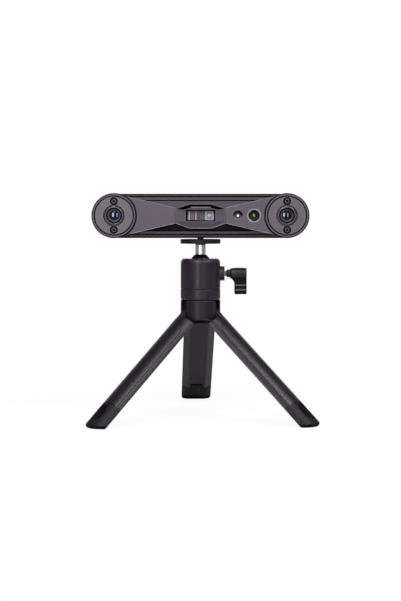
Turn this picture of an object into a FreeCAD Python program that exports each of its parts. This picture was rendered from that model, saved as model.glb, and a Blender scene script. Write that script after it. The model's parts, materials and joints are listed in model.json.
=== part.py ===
import FreeCAD, Part

import math
import os

import Sketcher

# A handheld stereo 3D scanner standing on its mini tripod.
# Frame: +Z up, the front of the scanner faces -Y, +X is to its right as seen from the front.
# The origin is on the floor, under the middle of the whole object. Lengths are millimetres.

Vector = FreeCAD.Vector
doc = FreeCAD.newDocument("desktop_scanner")
sheet = doc.addObject("Spreadsheet::Sheet", "Sizes")
sheet_rows = []
nodes = {}


# ---------------------------------------------------------------- sizes that know their formula

class Size:
    """A number together with the spreadsheet formula that it comes from."""

    def __init__(self, value, formula):
        self.value = float(value)
        self.formula = formula

    def __str__(self):
        return self.formula

    def __neg__(self):
        return Size(-self.value, f"(-1 * {self.formula})")

    def __add__(self, other):
        other = size(other)
        return Size(self.value + other.value, f"({self.formula} + {other.formula})")

    def __sub__(self, other):
        other = size(other)
        return Size(self.value - other.value, f"({self.formula} - {other.formula})")

    def __mul__(self, other):
        other = size(other)
        return Size(self.value * other.value, f"({self.formula} * {other.formula})")

    def __truediv__(self, other):
        other = size(other)
        return Size(self.value / other.value, f"({self.formula} / {other.formula})")

    def __radd__(self, other):
        return size(other) + self

    def __rsub__(self, other):
        return size(other) - self

    def __rmul__(self, other):
        return size(other) * self


def size(number):
    return number if isinstance(number, Size) else Size(number, f"({number:.6g})")


def sine(degrees):
    return Size(math.sin(math.radians(size(degrees).value)), f"sin({size(degrees)})")


def cosine(degrees):
    return Size(math.cos(math.radians(size(degrees).value)), f"cos({size(degrees)})")


def root(number):
    return Size(math.sqrt(number.value), f"sqrt({number})")


def cell(alias, value, note):
    """Put one driving dimension in the spreadsheet and return it as a Size."""
    sheet_rows.append(alias)
    row = len(sheet_rows)
    sheet.set(f"A{row}", note)
    sheet.set(f"B{row}", f"{value}")
    sheet.setAlias(f"B{row}", alias)
    return Size(value, f"Sizes.{alias}")


# ---------------------------------------------------------------- placements, as formulas

def at(x, y, z):
    return f"placement(vector({size(x)}; {size(y)}; {size(z)}); rotation(vector(0; 0; 1); 0))"


def turn(axis, degrees):
    return f"placement(vector(0; 0; 0); rotation(vector({axis}); {size(degrees)}))"


X_WAYS, Y_WAYS, Z_WAYS = "1; 0; 0", "0; 1; 0", "0; 0; 1"


def place(thing, *steps):
    thing.setExpression("Placement", " * ".join(steps))


# ---------------------------------------------------------------- sketches

PLANES = {"XY": "XY_Plane", "XZ": "XZ_Plane", "YZ": "YZ_Plane"}


def origin_feature(body, role):
    return [item for item in body.Origin.OriginFeatures if item.Role == role][0]


def new_sketch(body, plane, offset):
    """A sketch on one of the body's own origin planes, lifted along the plane's normal.

    The normals are +Z for XY, -Y (towards the front) for XZ and +X for YZ.
    """
    sketch = body.newObject("Sketcher::SketchObject", f"{body.Name}_sketch")
    sketch.AttachmentSupport = (origin_feature(body, PLANES[plane]), [""])
    sketch.MapMode = "FlatFace"
    sketch.setExpression("AttachmentOffset.Base.z", f"{size(offset)}")
    return sketch


def pin_point(sketch, edge, end, u, v):
    """Tie one point of an edge to the sketch's origin by its two distances."""
    for kind, distance in (("DistanceX", size(u)), ("DistanceY", size(v))):
        number = sketch.addConstraint(Sketcher.Constraint(kind, -1, 1, edge, end, distance.value))
        sketch.setExpression(f"Constraints[{number}]", f"{distance}")


def arc_edge(sketch, start, finish, radius, turning):
    """Add an arc from start to finish; turning is +1 to the left and -1 to the right."""
    half = (finish - start) * 0.5
    reach = math.sqrt(max(radius.value ** 2 - half.Length ** 2, 0.0))
    side = Vector(-half.y, half.x, 0).normalize() * turning
    centre = start + half + side * reach
    first, last = (start, finish) if turning > 0 else (finish, start)
    begin = math.atan2(first.y - centre.y, first.x - centre.x)
    end = math.atan2(last.y - centre.y, last.x - centre.x)
    if end < begin:
        end += 2 * math.pi
    circle = Part.Circle(centre, Vector(0, 0, 1), radius.value)
    edge = sketch.addGeometry(Part.ArcOfCircle(circle, begin, end), False)
    number = sketch.addConstraint(Sketcher.Constraint("Radius", edge, radius.value))
    sketch.setExpression(f"Constraints[{number}]", f"{radius}")
    return edge


def outline(sketch, points):
    """Draw a closed outline. A point is (u, v), or (u, v, radius, turning) where an arc starts."""
    spots = [Vector(size(point[0]).value, size(point[1]).value, 0) for point in points]
    count = len(points)
    edges = []
    for index, point in enumerate(points):
        start, finish = spots[index], spots[(index + 1) % count]
        if len(point) == 2:
            edge = sketch.addGeometry(Part.LineSegment(start, finish), False)
            edges.append((edge, 1, 2))
        else:
            edge = arc_edge(sketch, start, finish, size(point[2]), point[3])
            edges.append((edge, 1, 2) if point[3] > 0 else (edge, 2, 1))
    for index, (edge, start_end, finish_end) in enumerate(edges):
        following, following_start, unused_end = edges[(index + 1) % count]
        sketch.addConstraint(
            Sketcher.Constraint("Coincident", edge, finish_end, following, following_start))
        pin_point(sketch, edge, start_end, points[index][0], points[index][1])


def circle(sketch, u, v, radius):
    radius = size(radius)
    centre = Vector(size(u).value, size(v).value, 0)
    edge = sketch.addGeometry(Part.Circle(centre, Vector(0, 0, 1), radius.value), False)
    number = sketch.addConstraint(Sketcher.Constraint("Radius", edge, radius.value))
    sketch.setExpression(f"Constraints[{number}]", f"{radius}")
    pin_point(sketch, edge, 3, u, v)


def rectangle(low_u, high_u, low_v, high_v):
    return [(low_u, low_v), (high_u, low_v), (high_u, high_v), (low_u, high_v)]


def draw(sketch, shapes):
    """Draw outlines (lists) and circles (tuples of u, v and radius)."""
    for shape in shapes:
        if isinstance(shape, list):
            outline(sketch, shape)
        else:
            circle(sketch, *shape)


# ---------------------------------------------------------------- bodies and their features

def new_body(label):
    body = doc.addObject("PartDesign::Body", label)
    body.Label = label
    return body


def slab(body, plane, shapes, low, high):
    """Add the sketched shapes as a slab between two heights along the plane's normal."""
    sketch = new_sketch(body, plane, low)
    draw(sketch, shapes)
    pad = body.newObject("PartDesign::Pad", f"{body.Name}_pad")
    pad.Profile = sketch
    pad.setExpression("Length", f"{size(high) - size(low)}")
    return pad


def cut(body, plane, shapes, low, high):
    """Cut the sketched shapes away between two heights along the plane's normal."""
    sketch = new_sketch(body, plane, high)
    draw(sketch, shapes)
    pocket = body.newObject("PartDesign::Pocket", f"{body.Name}_pocket")
    pocket.Profile = sketch
    pocket.setExpression("Length", f"{size(high) - size(low)}")
    return pocket


def revolve(body, points):
    """Turn a profile of (radius, height) points about the body's own Z axis."""
    sketch = new_sketch(body, "XZ", 0)
    outline(sketch, points)
    turned = body.newObject("PartDesign::Revolution", f"{body.Name}_revolution")
    turned.Profile = sketch
    turned.ReferenceAxis = (sketch, ["V_Axis"])
    turned.Angle = 360
    return turned


def round_the_axis(body, feature, count):
    """Repeat a feature evenly about the body's Z axis."""
    pattern = body.newObject("PartDesign::PolarPattern", f"{body.Name}_pattern")
    pattern.Originals = [feature]
    pattern.Axis = (origin_feature(body, "Z_Axis"), [""])
    pattern.Angle = 360
    pattern.Occurrences = count
    body.Tip = pattern
    return pattern


def dress(body, kind, amount, belongs):
    """Fillet or chamfer the edges of the body so far whose middle point passes the test."""
    doc.recompute()
    base = body.Tip
    names = []
    for number, edge in enumerate(base.Shape.Edges, start=1):
        middle = edge.valueAt((edge.FirstParameter + edge.LastParameter) / 2)
        if belongs(middle):
            names.append(f"Edge{number}")
    if not names:
        raise RuntimeError(f"{body.Label}: no edge to {kind.lower()}")
    feature = body.newObject(f"PartDesign::{kind}", f"{body.Name}_{kind.lower()}")
    feature.Base = (base, names)
    feature.setExpression("Radius" if kind == "Fillet" else "Size", f"{size(amount)}")
    return feature


def node(thing, *steps):
    """Register a finished sub-part and put it where it belongs."""
    if steps:
        place(thing, *steps)
    nodes[thing.Label] = thing
    return thing


def boolean(kind, label, base, tool):
    result = doc.addObject(f"Part::{kind}", label)
    result.Label = label
    result.Base = base
    result.Tool = tool
    return result


def group(label, members):
    """Several loose pieces of one kind, kept in one node."""
    compound = doc.addObject("Part::Compound", label)
    compound.Label = label
    compound.Links = members
    return node(compound)


def ring_profile(inner, outer, low, high):
    return [(inner, low), (outer, low), (outer, high), (inner, high)]


# ---------------------------------------------------------------- driving dimensions

axis_x = cell("axis_x", -2.1, "tripod axis from the middle of the object, sideways")
axis_y = cell("axis_y", -22.0, "tripod axis from the middle of the object, front to back")

head_z = cell("head_z", 172, "middle of the scanner above the floor")
drum_reach = cell("drum_reach", 73, "camera axis from the middle of the scanner")
drum_radius = cell("drum_radius", 19, "radius of the round ends")
half_depth = cell("half_depth", 18, "half of the scanner's depth")
half_height = cell("half_height", 18.5, "top of the middle body from its middle")
half_below = cell("half_below", 19.0, "bottom of the middle body from its middle")
drum_gap = cell("drum_gap", 0.4, "groove between the covers and the round ends")
drum_groove = cell("drum_groove", 4.5, "depth of that groove")
disc_radius = cell("disc_radius", 16.3, "face disc of each round end")
disc_gap = cell("disc_gap", 0.6, "groove round the face disc")
disc_thick = cell("disc_thick", 1.8, "thickness of the face disc")
cavity_radius = cell("cavity_radius", 15.6, "hollow of the round end")
shell_wall = cell("shell_wall", 2.0, "wall of the shells")
disc_screw_reach = cell("disc_screw_reach", 12.1, "face disc screw from the camera axis")
screw_recess_radius = cell("screw_recess_radius", 3.35, "counterbore for a face disc screw")
screw_head_radius = cell("screw_head_radius", 2.6, "head of a face disc screw")
screw_shank_radius = cell("screw_shank_radius", 1.25, "shank of a small screw")
hood_radius = cell("hood_radius", 9.0, "hole for the lens hood")
hood_mouth_radius = cell("hood_mouth_radius", 8.7, "mouth of the conical lens hood")
hood_throat_radius = cell("hood_throat_radius", 6.6, "throat of the conical lens hood")
barrel_radius = cell("barrel_radius", 5.7, "camera barrel")
lens_radius = cell("lens_radius", 4.0, "front lens of a camera")
lens_bulge = cell("lens_bulge", 10.0, "radius of the lens surface")

wing_front = cell("wing_front", 17.5, "front of the wings from the middle plane")
frame_front = cell("frame_front", 16.2, "front of the frame round the window")
rib_front = cell("rib_front", 15.0, "front of the first rib")
window_plane = cell("window_plane", 12.6, "bottom of the funnel round the window")
window_half_length = cell("window_half_length", 12.5, "half length of the window opening")
window_half_height = cell("window_half_height", 4.9, "half height of the window opening")
gasket_wide = cell("gasket_wide", 0.8, "width of the window gasket")
waist_reach = cell("waist_reach", 21.0, "waist of the face from the middle")
waist_half = cell("waist_half", 6.7, "half height of the waist")
wing_end_reach = cell("wing_end_reach", 64.0, "outer end of the wing outline")
wing_end_half = cell("wing_end_half", 16.7, "half height of the wing at its outer end")
wing_chamfer = cell("wing_chamfer", 0.6, "chamfer along the front edges of the wings")
led_reach = cell("led_reach", 31.6, "flash lamp from the middle")
colour_reach = cell("colour_reach", 45.2, "colour camera from the middle")
colour_radius = cell("colour_radius", 6.0, "ring of the colour camera")
colour_lens_radius = cell("colour_lens_radius", 4.5, "lens holder of the colour camera")
led_radius = cell("led_radius", 2.4, "flash lamp body")
led_mouth_radius = cell("led_mouth_radius", 3.8, "countersink of the flash lamp")
back_face = cell("back_face", 17.6, "rear face of the back cover")
back_wall = cell("back_wall", 1.8, "wall of the back cover")
bench_front = cell("bench_front", -9.6, "rear side of the optical bench, towards the front positive")
bench_thick = cell("bench_thick", 4.0, "thickness of the optical bench")
bench_half = cell("bench_half", 6.5, "half height of the optical bench")
bench_reach = cell("bench_reach", 84.0, "half length of the optical bench")
board_thick = cell("board_thick", 1.6, "thickness of a circuit board")
button_travel = cell("button_travel", 0.6, "travel of the buttons")
switch_body_high = cell("switch_body_high", 1.6, "body of a switch under a button")
switch_high = cell("switch_high", 2.0, "switch with its plunger")
scan_button_radius = cell("scan_button_radius", 4.5, "scan button")
small_button_radius = cell("small_button_radius", 3.2, "brightness buttons")
small_button_reach = cell("small_button_reach", 14.0, "brightness buttons from the middle")
button_clearance = cell("button_clearance", 0.3, "gap round a button")
usb_reach = cell("usb_reach", -42.0, "charging and data socket from the middle")
status_reach = cell("status_reach", 26.0, "status light from the middle")

plate_low = cell("plate_low", 148.1, "underside of the mounting plate")
plate_high = cell("plate_high", 151.9, "top of the mounting plate")
plate_radius = cell("plate_radius", 17.2, "radius of the mounting plate")
quarter_inch = cell("quarter_inch", 6.35, "major diameter of the tripod thread")
ball_z = cell("ball_z", 131.1, "middle of the ball above the floor")
ball_radius = cell("ball_radius", 9.0, "ball")
stem_radius = cell("stem_radius", 4.45, "stem of the ball")
seat_clearance = cell("seat_clearance", 0.08, "running clearance round the ball")
head_radius = cell("head_radius", 17.0, "ball head housing and tripod hub")
housing_low = cell("housing_low", 109.7, "seam between the housing and its panning base")
housing_high = cell("housing_high", 135.3, "top of the housing")
housing_bore = cell("housing_bore", 11.0, "bore of the housing")
spigot_radius = cell("spigot_radius", 8.0, "spigot on which the housing pans")
base_low = cell("base_low", 100.4, "underside of the panning base")
knob_z = cell("knob_z", 122.5, "clamp screw above the floor")
clamp_radius = cell("clamp_radius", 2.5, "clamp screw")
collar_radius = cell("collar_radius", 6.25, "collar that the clamp screw enters by")
collar_reach = cell("collar_reach", 20.6, "end of the collar from the tripod axis")
knob_start = cell("knob_start", 22.4, "near end of the clamp knob from the tripod axis")
knob_end = cell("knob_end", 39.5, "far end of the clamp knob from the tripod axis")
knob_radius = cell("knob_radius", 4.9, "barrel of the clamp knob")
knob_hang = cell("knob_hang", 17.8, "end of the knob's wing from the clamp screw")
knob_wing_half = cell("knob_wing_half", 2.4, "half thickness of the knob's wing")
knob_rib = cell("knob_rib", 0.6, "height of the grip ribs on the knob's wing")
plug_radius = cell("plug_radius", 3.0, "plug that presses on the ball")
running_gap = cell("running_gap", 0.06, "radial gap of a shaft in its hole")

hub_low = cell("hub_low", 83.5, "underside of the hub")
hub_seam = cell("hub_seam", 98.4, "joint between the hub and its cap")
pivot_reach = cell("pivot_reach", 12.0, "leg pivot from the tripod axis")
pivot_z = cell("pivot_z", 89.27, "leg pivot above the floor")
pin_radius = cell("pin_radius", 1.5, "leg hinge pin")
pin_length = cell("pin_length", 16.0, "length of a leg hinge pin")
slot_half = cell("slot_half", 3.8, "half width of a leg slot in the hub")
slot_inner = cell("slot_inner", 7.0, "inner wall of a leg slot from the tripod axis")
knuckle_half = cell("knuckle_half", 3.5, "half width of a leg's knuckle")
knuckle_radius = cell("knuckle_radius", 4.3, "round top of a leg's knuckle")
splay = cell("splay", 46.36, "angle of an open leg from upright")
tripod_yaw = cell("tripod_yaw", 2.5, "turn of the tripod about its axis")
leg_radius = cell("leg_radius", 16.0, "round outer side of a leg, about the closed tripod's axis")
leg_flat = cell("leg_flat", 5.0, "flat inner side of a leg from the closed tripod's axis")
leg_gap = cell("leg_gap", 0.35, "half of the gap between closed legs")
leg_top = cell("leg_top", 8.0, "shoulder of a leg below its pivot")
leg_seam = cell("leg_seam", 105.0, "seam between a leg and its foot cap below the pivot")
panel_half = cell("panel_half", 6.6, "half width of a leg's inner panel")
panel_top = cell("panel_top", 13.5, "top of a leg's inner panel below the pivot")
panel_end = cell("panel_end", 89.5, "end of a leg's inner panel below the pivot")
panel_thick = cell("panel_thick", 1.5, "thickness of a leg's inner panel")
latch_top = cell("latch_top", 90.5, "top of the recess on a leg's inner side below the pivot")
grip_angle = cell("grip_angle", 43.0, "half of the angle that the grip panel spans")
grip_thick = cell("grip_thick", 1.0, "thickness of the grip panel")
grip_top = cell("grip_top", 12.5, "arched top of the grip panel below the pivot")
grip_gap = cell("grip_gap", 0.35, "gap between the grip panel and the rim of its pocket")
foot_groove = cell("foot_groove", 0.6, "height of the groove above a foot cap")
foot_inset = cell("foot_inset", 0.8, "depth of the groove above a foot cap")
sole_thick = cell("sole_thick", 2.8, "thickness of a rubber sole")
toe_round = cell("toe_round", 2.0, "rounding of the toe")
doc.recompute()


# ---------------------------------------------------------------- round ends of the scanner
# Each end is drawn about its camera axis with local +Z pointing out of the front.

def end_place(side):
    return [at(axis_x + side * drum_reach, axis_y, head_z), turn(X_WAYS, 90)]


def end_shell(label, side):
    """A cup closed at the back, with a ledge in front for the face disc and two screw posts."""
    body = new_body(label)
    rim = disc_radius + disc_gap
    ledge = half_depth - disc_thick
    revolve(body, [
        (0, -half_depth), (drum_radius - 1.5, -half_depth), (drum_radius, 1.5 - half_depth),
        (drum_radius, half_depth - 1), (drum_radius - 1, half_depth), (rim, half_depth),
        (rim, ledge), (cavity_radius, ledge), (cavity_radius, shell_wall - half_depth),
        (0, shell_wall - half_depth)])
    posts = [(0, way * disc_screw_reach, 2.2) for way in (-1, 1)]
    slab(body, "XY", posts, 0.5 * shell_wall - half_depth, ledge)
    threads = [(0, way * disc_screw_reach, screw_shank_radius) for way in (-1, 1)]
    cut(body, "XY", threads, ledge - 8, ledge)
    inward = [0, 22] if side < 0 else [-22, 0]
    bench_gap = 0.3
    cut(body, "XY",
        [rectangle(inward[0], inward[1], -bench_half - bench_gap, bench_half + bench_gap)],
        bench_front - bench_gap, bench_front + bench_thick + bench_gap)
    return node(body, *end_place(side))


def face_disc(label, side):
    body = new_body(label)
    back = half_depth - disc_thick
    revolve(body, [
        (hood_radius, back), (disc_radius, back), (disc_radius, half_depth - 0.4),
        (disc_radius - 0.4, half_depth), (hood_radius, half_depth)])
    recesses = [(0, way * disc_screw_reach, screw_recess_radius) for way in (-1, 1)]
    cut(body, "XY", recesses, half_depth - 1.2, half_depth)
    holes = [(0, way * disc_screw_reach, screw_shank_radius) for way in (-1, 1)]
    cut(body, "XY", holes, back - 0.1, half_depth)
    return node(body, *end_place(side))


def lens_hood(label, side):
    """The conical recess in front of a camera, held behind the face disc by its flange."""
    body = new_body(label)
    back = half_depth - disc_thick
    revolve(body, [
        (hood_throat_radius, 13), (hood_radius + 0.8, 13), (hood_radius + 0.8, back),
        (hood_radius, back), (hood_radius, half_depth - 0.1), (hood_mouth_radius, half_depth - 0.1),
        (hood_throat_radius, 14)])
    return node(body, *end_place(side))


def camera_barrel(label, side):
    body = new_body(label)
    front = 15.6
    revolve(body, [
        (3.2, -4), (barrel_radius, -4), (barrel_radius, front - 0.5),
        (barrel_radius - 0.5, front), (lens_radius + 0.5, front), (lens_radius, front - 0.6),
        (lens_radius, 13), (3.2, 13)])
    place(body, *end_place(side))
    return body


def crown(rim, radius, bulge):
    """Height of the top of a lens whose edge has this height and radius."""
    return rim + bulge - root(bulge * bulge - radius * radius)


def camera_lens(label, side):
    """A plano-convex front lens."""
    body = new_body(label)
    back, rim = 13.0, 13.8
    revolve(body, [(0, back), (lens_radius, back), (lens_radius, rim, lens_bulge, 1),
                   (0, crown(rim, lens_radius, lens_bulge))])
    return node(body, *end_place(side))


def socket_screw(label, head_radius_here, head_high, shank_long):
    """A socket head screw, its head standing on local z = 0."""
    body = new_body(label)
    revolve(body, [
        (0, -shank_long), (screw_shank_radius, -shank_long), (screw_shank_radius, 0),
        (head_radius_here, 0), (head_radius_here, head_high - 0.3),
        (head_radius_here - 0.3, head_high), (0, head_high)])
    corners = [(0.5 * head_radius_here * cosine(60 * step), 0.5 * head_radius_here * sine(60 * step))
               for step in range(6)]
    cut(body, "XY", [corners], 0.35 * head_high, head_high)
    return body


def sensor_board(label, side):
    body = new_body(label)
    slab(body, "XY", [rectangle(-9, 9, -9, 9)], -4 - board_thick, -4)
    place(body, *end_place(side))
    return body


SIDES = (("left", -1), ("right", 1))
disc_screws = []
barrels = []
boards = []
for name, side in SIDES:
    end_shell(f"{name}_end_shell", side)
    face_disc(f"{name}_face_disc", side)
    lens_hood(f"{name}_lens_hood", side)
    camera_lens(f"{name}_camera_lens", side)
    barrels.append(camera_barrel(f"{name}_barrel", side))
    boards.append(sensor_board(f"{name}_sensor_board", side))
    for way in (-1, 1):
        screw = socket_screw(f"{name}_disc_screw", screw_head_radius, 1.1, 7)
        place(screw, *end_place(side), at(0, way * disc_screw_reach, half_depth - 1.2))
        disc_screws.append(screw)
group("face_disc_screws", disc_screws)
group("camera_barrels", barrels)
group("sensor_boards", boards)


# ---------------------------------------------------------------- middle of the scanner
# Drawn about the middle of the scanner. Depths are measured towards the front, along -Y.

head_place = at(axis_x, axis_y, head_z)
rib_two = rib_front - 1.5
rib_three = rib_front - 3.5
inner_side = half_height - shell_wall - 0.2
cover_reach = drum_reach - 3


def cover_section(way, face, inner_face):
    """Half of the ribbed section, front (way -1) or back (way +1), open at the middle plane."""
    upper = [
        (0, half_height), (rib_three, half_height), (rib_three, 16.5), (10, 16.5), (10, 15.4),
        (rib_two, 15.4), (rib_two, 13.3), (12, 13.3), (12, 12.3), (rib_front, 12.3),
        (rib_front, 10.6), (face, 9.4)]
    lining = [(inner_face, 9.0), (8, 13.2), (8, inner_side), (0, inner_side)]
    above = [(way * y, size(z)) for y, z in upper]
    below = [(way * y, -size(z)) for y, z in reversed(upper[2:])]
    below += [(way * rib_three, -half_below), (0, -half_below)]
    inside_below = [(way * y, -size(z)) for y, z in reversed(lining)]
    inside_above = [(way * y, size(z)) for y, z in lining]
    return above + below + inside_below + inside_above


def cover_posts():
    return [(x, z, 2.6) for x in (-50, 50) for z in (-12.2, 12.2)]


def drum_room(gap=0):
    return [(-drum_reach, 0, drum_radius + gap), (drum_reach, 0, drum_radius + gap)]


def wing(side):
    return [
        (side * wing_end_reach, -wing_end_half), (side * waist_reach, -waist_half),
        (side * waist_reach, waist_half), (side * wing_end_reach, wing_end_half)]


def eight_corners(side_x, side_top, top_x, top, side_bottom, bottom_x, bottom):
    return [
        (-side_x, side_top), (-side_x, side_bottom), (-bottom_x, bottom), (bottom_x, bottom),
        (side_x, side_bottom), (side_x, side_top), (top_x, top), (-top_x, top)]


def front_cover():
    body = new_body("front_cover")
    slab(body, "YZ", [cover_section(-1, rib_front, 10.5)], -cover_reach, cover_reach)
    slab(body, "XZ", [wing(-1), wing(1)], rib_front - 1, wing_front)

    def wing_edge(middle):
        return abs(middle.y + wing_front.value) < 0.01 and abs(middle.x) < wing_end_reach.value - 1

    dress(body, "Chamfer", wing_chamfer, wing_edge)
    frame = eight_corners(waist_reach, waist_half, size(8.7), size(10.3), -waist_half,
                          size(8.7), size(-10.9))
    slab(body, "XZ", [frame], rib_front - 1, frame_front)
    mouth = new_sketch(body, "XZ", frame_front)
    outline(mouth, eight_corners(size(20.4), size(6.0), size(8.7), size(9.4), size(-5.7),
                                 size(8.7), size(-9.7)))
    floor = new_sketch(body, "XZ", window_plane)
    outline(floor, eight_corners(size(13.7), size(5.2), size(8.6), size(6.9), size(-4.4),
                                 size(11.6), size(-5.5)))
    funnel = body.newObject("PartDesign::SubtractiveLoft", "front_cover_funnel")
    funnel.Profile = mouth
    funnel.Sections = [floor]
    funnel.Ruled = True
    window = rectangle(-window_half_length, window_half_length,
                       -window_half_height, window_half_height)
    cut(body, "XZ", [window], 10, window_plane)
    hollows = [rectangle(low, high, -5.6, 5.6) for low, high in ((-51, -24), (24, 51))]
    cut(body, "XZ", hollows, 10, wing_front - 2.2)
    slab(body, "XZ", cover_posts(), 0, 10.8)
    cut(body, "XZ", [(x, z, screw_shank_radius) for x, z, radius in cover_posts()], 0, 8)
    cut(body, "XZ", [(colour_reach, 0, colour_radius)], 14, wing_front)
    cut(body, "XZ", [(led_reach, 0, led_mouth_radius)], wing_front - 1.1, wing_front)
    cut(body, "XZ", [(led_reach, 0, led_radius)], 14, wing_front)
    cut(body, "XZ", drum_room(), -1, wing_front + 1)
    cut(body, "XZ", drum_room(drum_gap), wing_front - drum_groove, wing_front + 1)
    cut(body, "XY", [(0, 0, 4.6)], -half_below - 1, -inner_side + 1)
    return node(body, head_place)


def rear_cover():
    body = new_body("rear_cover")
    slab(body, "YZ", [cover_section(1, back_face, back_face - back_wall)], -cover_reach, cover_reach)
    slab(body, "XZ", cover_posts(), 2 - back_face, 0)
    cut(body, "XZ", [(x, z, 2.7) for x, z, radius in cover_posts()], -back_face, -10)
    cut(body, "XZ", [(x, z, screw_shank_radius) for x, z, radius in cover_posts()], -11, 0)
    openings = [
        (0, 0, scan_button_radius + button_clearance),
        (small_button_reach, 0, small_button_radius + button_clearance),
        (-small_button_reach, 0, small_button_radius + button_clearance),
        (status_reach, 0, 1.2),
        rectangle(usb_reach - 4.6, usb_reach + 4.6, -1.7, 1.7)]
    cut(body, "XZ", openings, -back_face, 1 - back_face + back_wall)
    cut(body, "XZ", drum_room(), -back_face - 1, 1)
    cut(body, "XY", [(0, 0, 4.6)], -half_below - 1, -inner_side + 1)
    return node(body, head_place)


def window_pieces():
    inner_length = window_half_length - gasket_wide
    inner_height = window_half_height - gasket_wide
    gasket = new_body("window_gasket")
    slab(gasket, "XZ", [rectangle(-window_half_length, window_half_length,
                                  -window_half_height, window_half_height)],
         10.5, window_plane - 0.1)
    pane = rectangle(-inner_length, inner_length, -inner_height, inner_height)
    cut(gasket, "XZ", [pane], 10, window_plane)
    node(gasket, head_place)
    glass = new_body("window_glass")
    slab(glass, "XZ", [pane], 11.1, window_plane - 0.3)
    node(glass, head_place)


def light_modules():
    bench_face = bench_front + bench_thick
    laser = new_body("line_laser_module")
    module_front, tall = 10.4, 3.9
    recess = module_front - 1.2
    slab(laser, "XZ", [rectangle(-11.3, -2.7, -tall, tall)], bench_face, module_front)
    cut(laser, "XZ", [rectangle(-9, -4.9, -3.3, 3.3)], recess, module_front)
    node(laser, head_place)
    projector = new_body("pattern_projector_module")
    slab(projector, "XZ", [rectangle(3.6, 11.4, -tall, tall)], bench_face, module_front - 1)
    slab(projector, "XZ", [rectangle(5.2, 9.8, -2.4, 2.4)], recess, module_front)
    node(projector, head_place)


def colour_camera():
    ring = new_body("colour_camera_ring")
    revolve(ring, [
        (colour_lens_radius, 14), (colour_radius, 14), (colour_radius, wing_front + 0.1),
        (colour_lens_radius + 0.5, wing_front + 0.1), (colour_lens_radius, wing_front - 0.4)])
    node(ring, at(axis_x + colour_reach, axis_y, head_z), turn(X_WAYS, 90))
    lens = new_body("colour_camera_lens")
    bench_face = bench_front + bench_thick
    glass_rim, glass_radius, glass_bulge = 15.4, size(2.2), size(5.0)
    revolve(lens, [
        (0, bench_face), (colour_lens_radius, bench_face), (colour_lens_radius, glass_rim + 1),
        (glass_radius + 0.4, glass_rim), (glass_radius, glass_rim, glass_bulge, 1),
        (0, crown(glass_rim, glass_radius, glass_bulge))])
    node(lens, at(axis_x + colour_reach, axis_y, head_z), turn(X_WAYS, 90))


def flash_led():
    body = new_body("flash_led")
    revolve(body, [(0, 12), (led_radius, 12), (led_radius, 15.2), (1.6, 15.2),
                   (1.6, 15.6, 1.6, 1), (0, 17.2)])
    return node(body, at(axis_x + led_reach, axis_y, head_z), turn(X_WAYS, 90))


def optical_bench():
    """The aluminium bar that keeps both cameras in line and carries the tripod thread."""
    body = new_body("optical_bench")
    slab(body, "XZ", [rectangle(-bench_reach, bench_reach, -bench_half, bench_half)],
         bench_front, bench_front + bench_thick)
    slab(body, "XZ", [rectangle(-8, 8, -inner_side, -bench_half + 1)], -7.9, 5.6)
    cut(body, "XY", [(0, 0, 4.5)], -half_height, -8)
    return node(body, head_place)


def electronics():
    board_back = bench_front - board_thick
    board = new_body("main_board")
    slab(board, "XZ", [rectangle(-46.5, 46.5, -7.6, 7.6)], board_back, bench_front)
    node(board, head_place)
    usb = new_body("usb_socket")
    slab(usb, "XZ", [rectangle(usb_reach - 4.5, usb_reach + 4.5, -1.6, 1.6)], 0.3 - back_face, board_back)
    cut(usb, "XZ", [rectangle(usb_reach - 4.2, usb_reach + 4.2, -1.3, 1.3)], 0.3 - back_face, 6 - back_face)
    slab(usb, "XZ", [rectangle(usb_reach - 3.4, usb_reach + 3.4, -0.35, 0.35)],
         1.2 - back_face, 6.2 - back_face)
    node(usb, head_place)
    light = new_body("status_light")
    slab(light, "XZ", [(status_reach, 0, 1.2)], -back_face, board_back)
    node(light, head_place)
    switches = []
    for reach in (-small_button_reach, size(0), small_button_reach):
        switch = new_body("tact_switch")
        slab(switch, "XZ", [rectangle(reach - 2.2, reach + 2.2, -2.2, 2.2)],
             board_back - switch_body_high, board_back)
        slab(switch, "XZ", [(reach, 0, 1.2)], board_back - switch_high, board_back - switch_body_high + 0.1)
        place(switch, head_place)
        switches.append(switch)
    group("tact_switches", switches)


def button(label, reach, radius):
    """A cap with an inner flange. Local +Z points out of the back."""
    body = new_body(label)
    inner_wall = back_face - back_wall
    switch_tip = board_thick - bench_front + switch_high
    foot = switch_tip + button_travel + 0.4
    proud = back_face + button_travel + 0.1
    revolve(body, [
        (0, foot), (1.4, foot), (1.4, inner_wall - 1.1),
        (radius + 0.9, inner_wall - 1.1), (radius + 0.9, inner_wall - 0.3), (radius, inner_wall - 0.3),
        (radius, proud - 0.5), (radius - 0.5, proud), (0, proud)])
    return node(body, at(axis_x + reach, axis_y, head_z), turn(X_WAYS, -90))


def cover_screws():
    screws = []
    for x, z, radius in cover_posts():
        screw = socket_screw("cover_screw", 2.3, 1.8, 16)
        place(screw, at(axis_x + x, axis_y + 10, head_z + z), turn(X_WAYS, -90))
        screws.append(screw)
    group("cover_screws", screws)


def tripod_insert():
    body = new_body("tripod_insert")
    revolve(body, ring_profile(0.5 * quarter_inch, 4.5, -half_height, -8))
    return node(body, head_place)


front_cover()
rear_cover()
window_pieces()
light_modules()
colour_camera()
flash_led()
optical_bench()
electronics()
button("scan_button", size(0), scan_button_radius)
button("brighter_button", small_button_reach, small_button_radius)
button("dimmer_button", -small_button_reach, small_button_radius)
cover_screws()
tripod_insert()


# ---------------------------------------------------------------- ball head
# Drawn about the tripod axis, with heights above the floor.

tripod_place = at(axis_x, axis_y, 0)
knob_place = [at(axis_x, axis_y, knob_z), turn(Y_WAYS, 90)]


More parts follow.
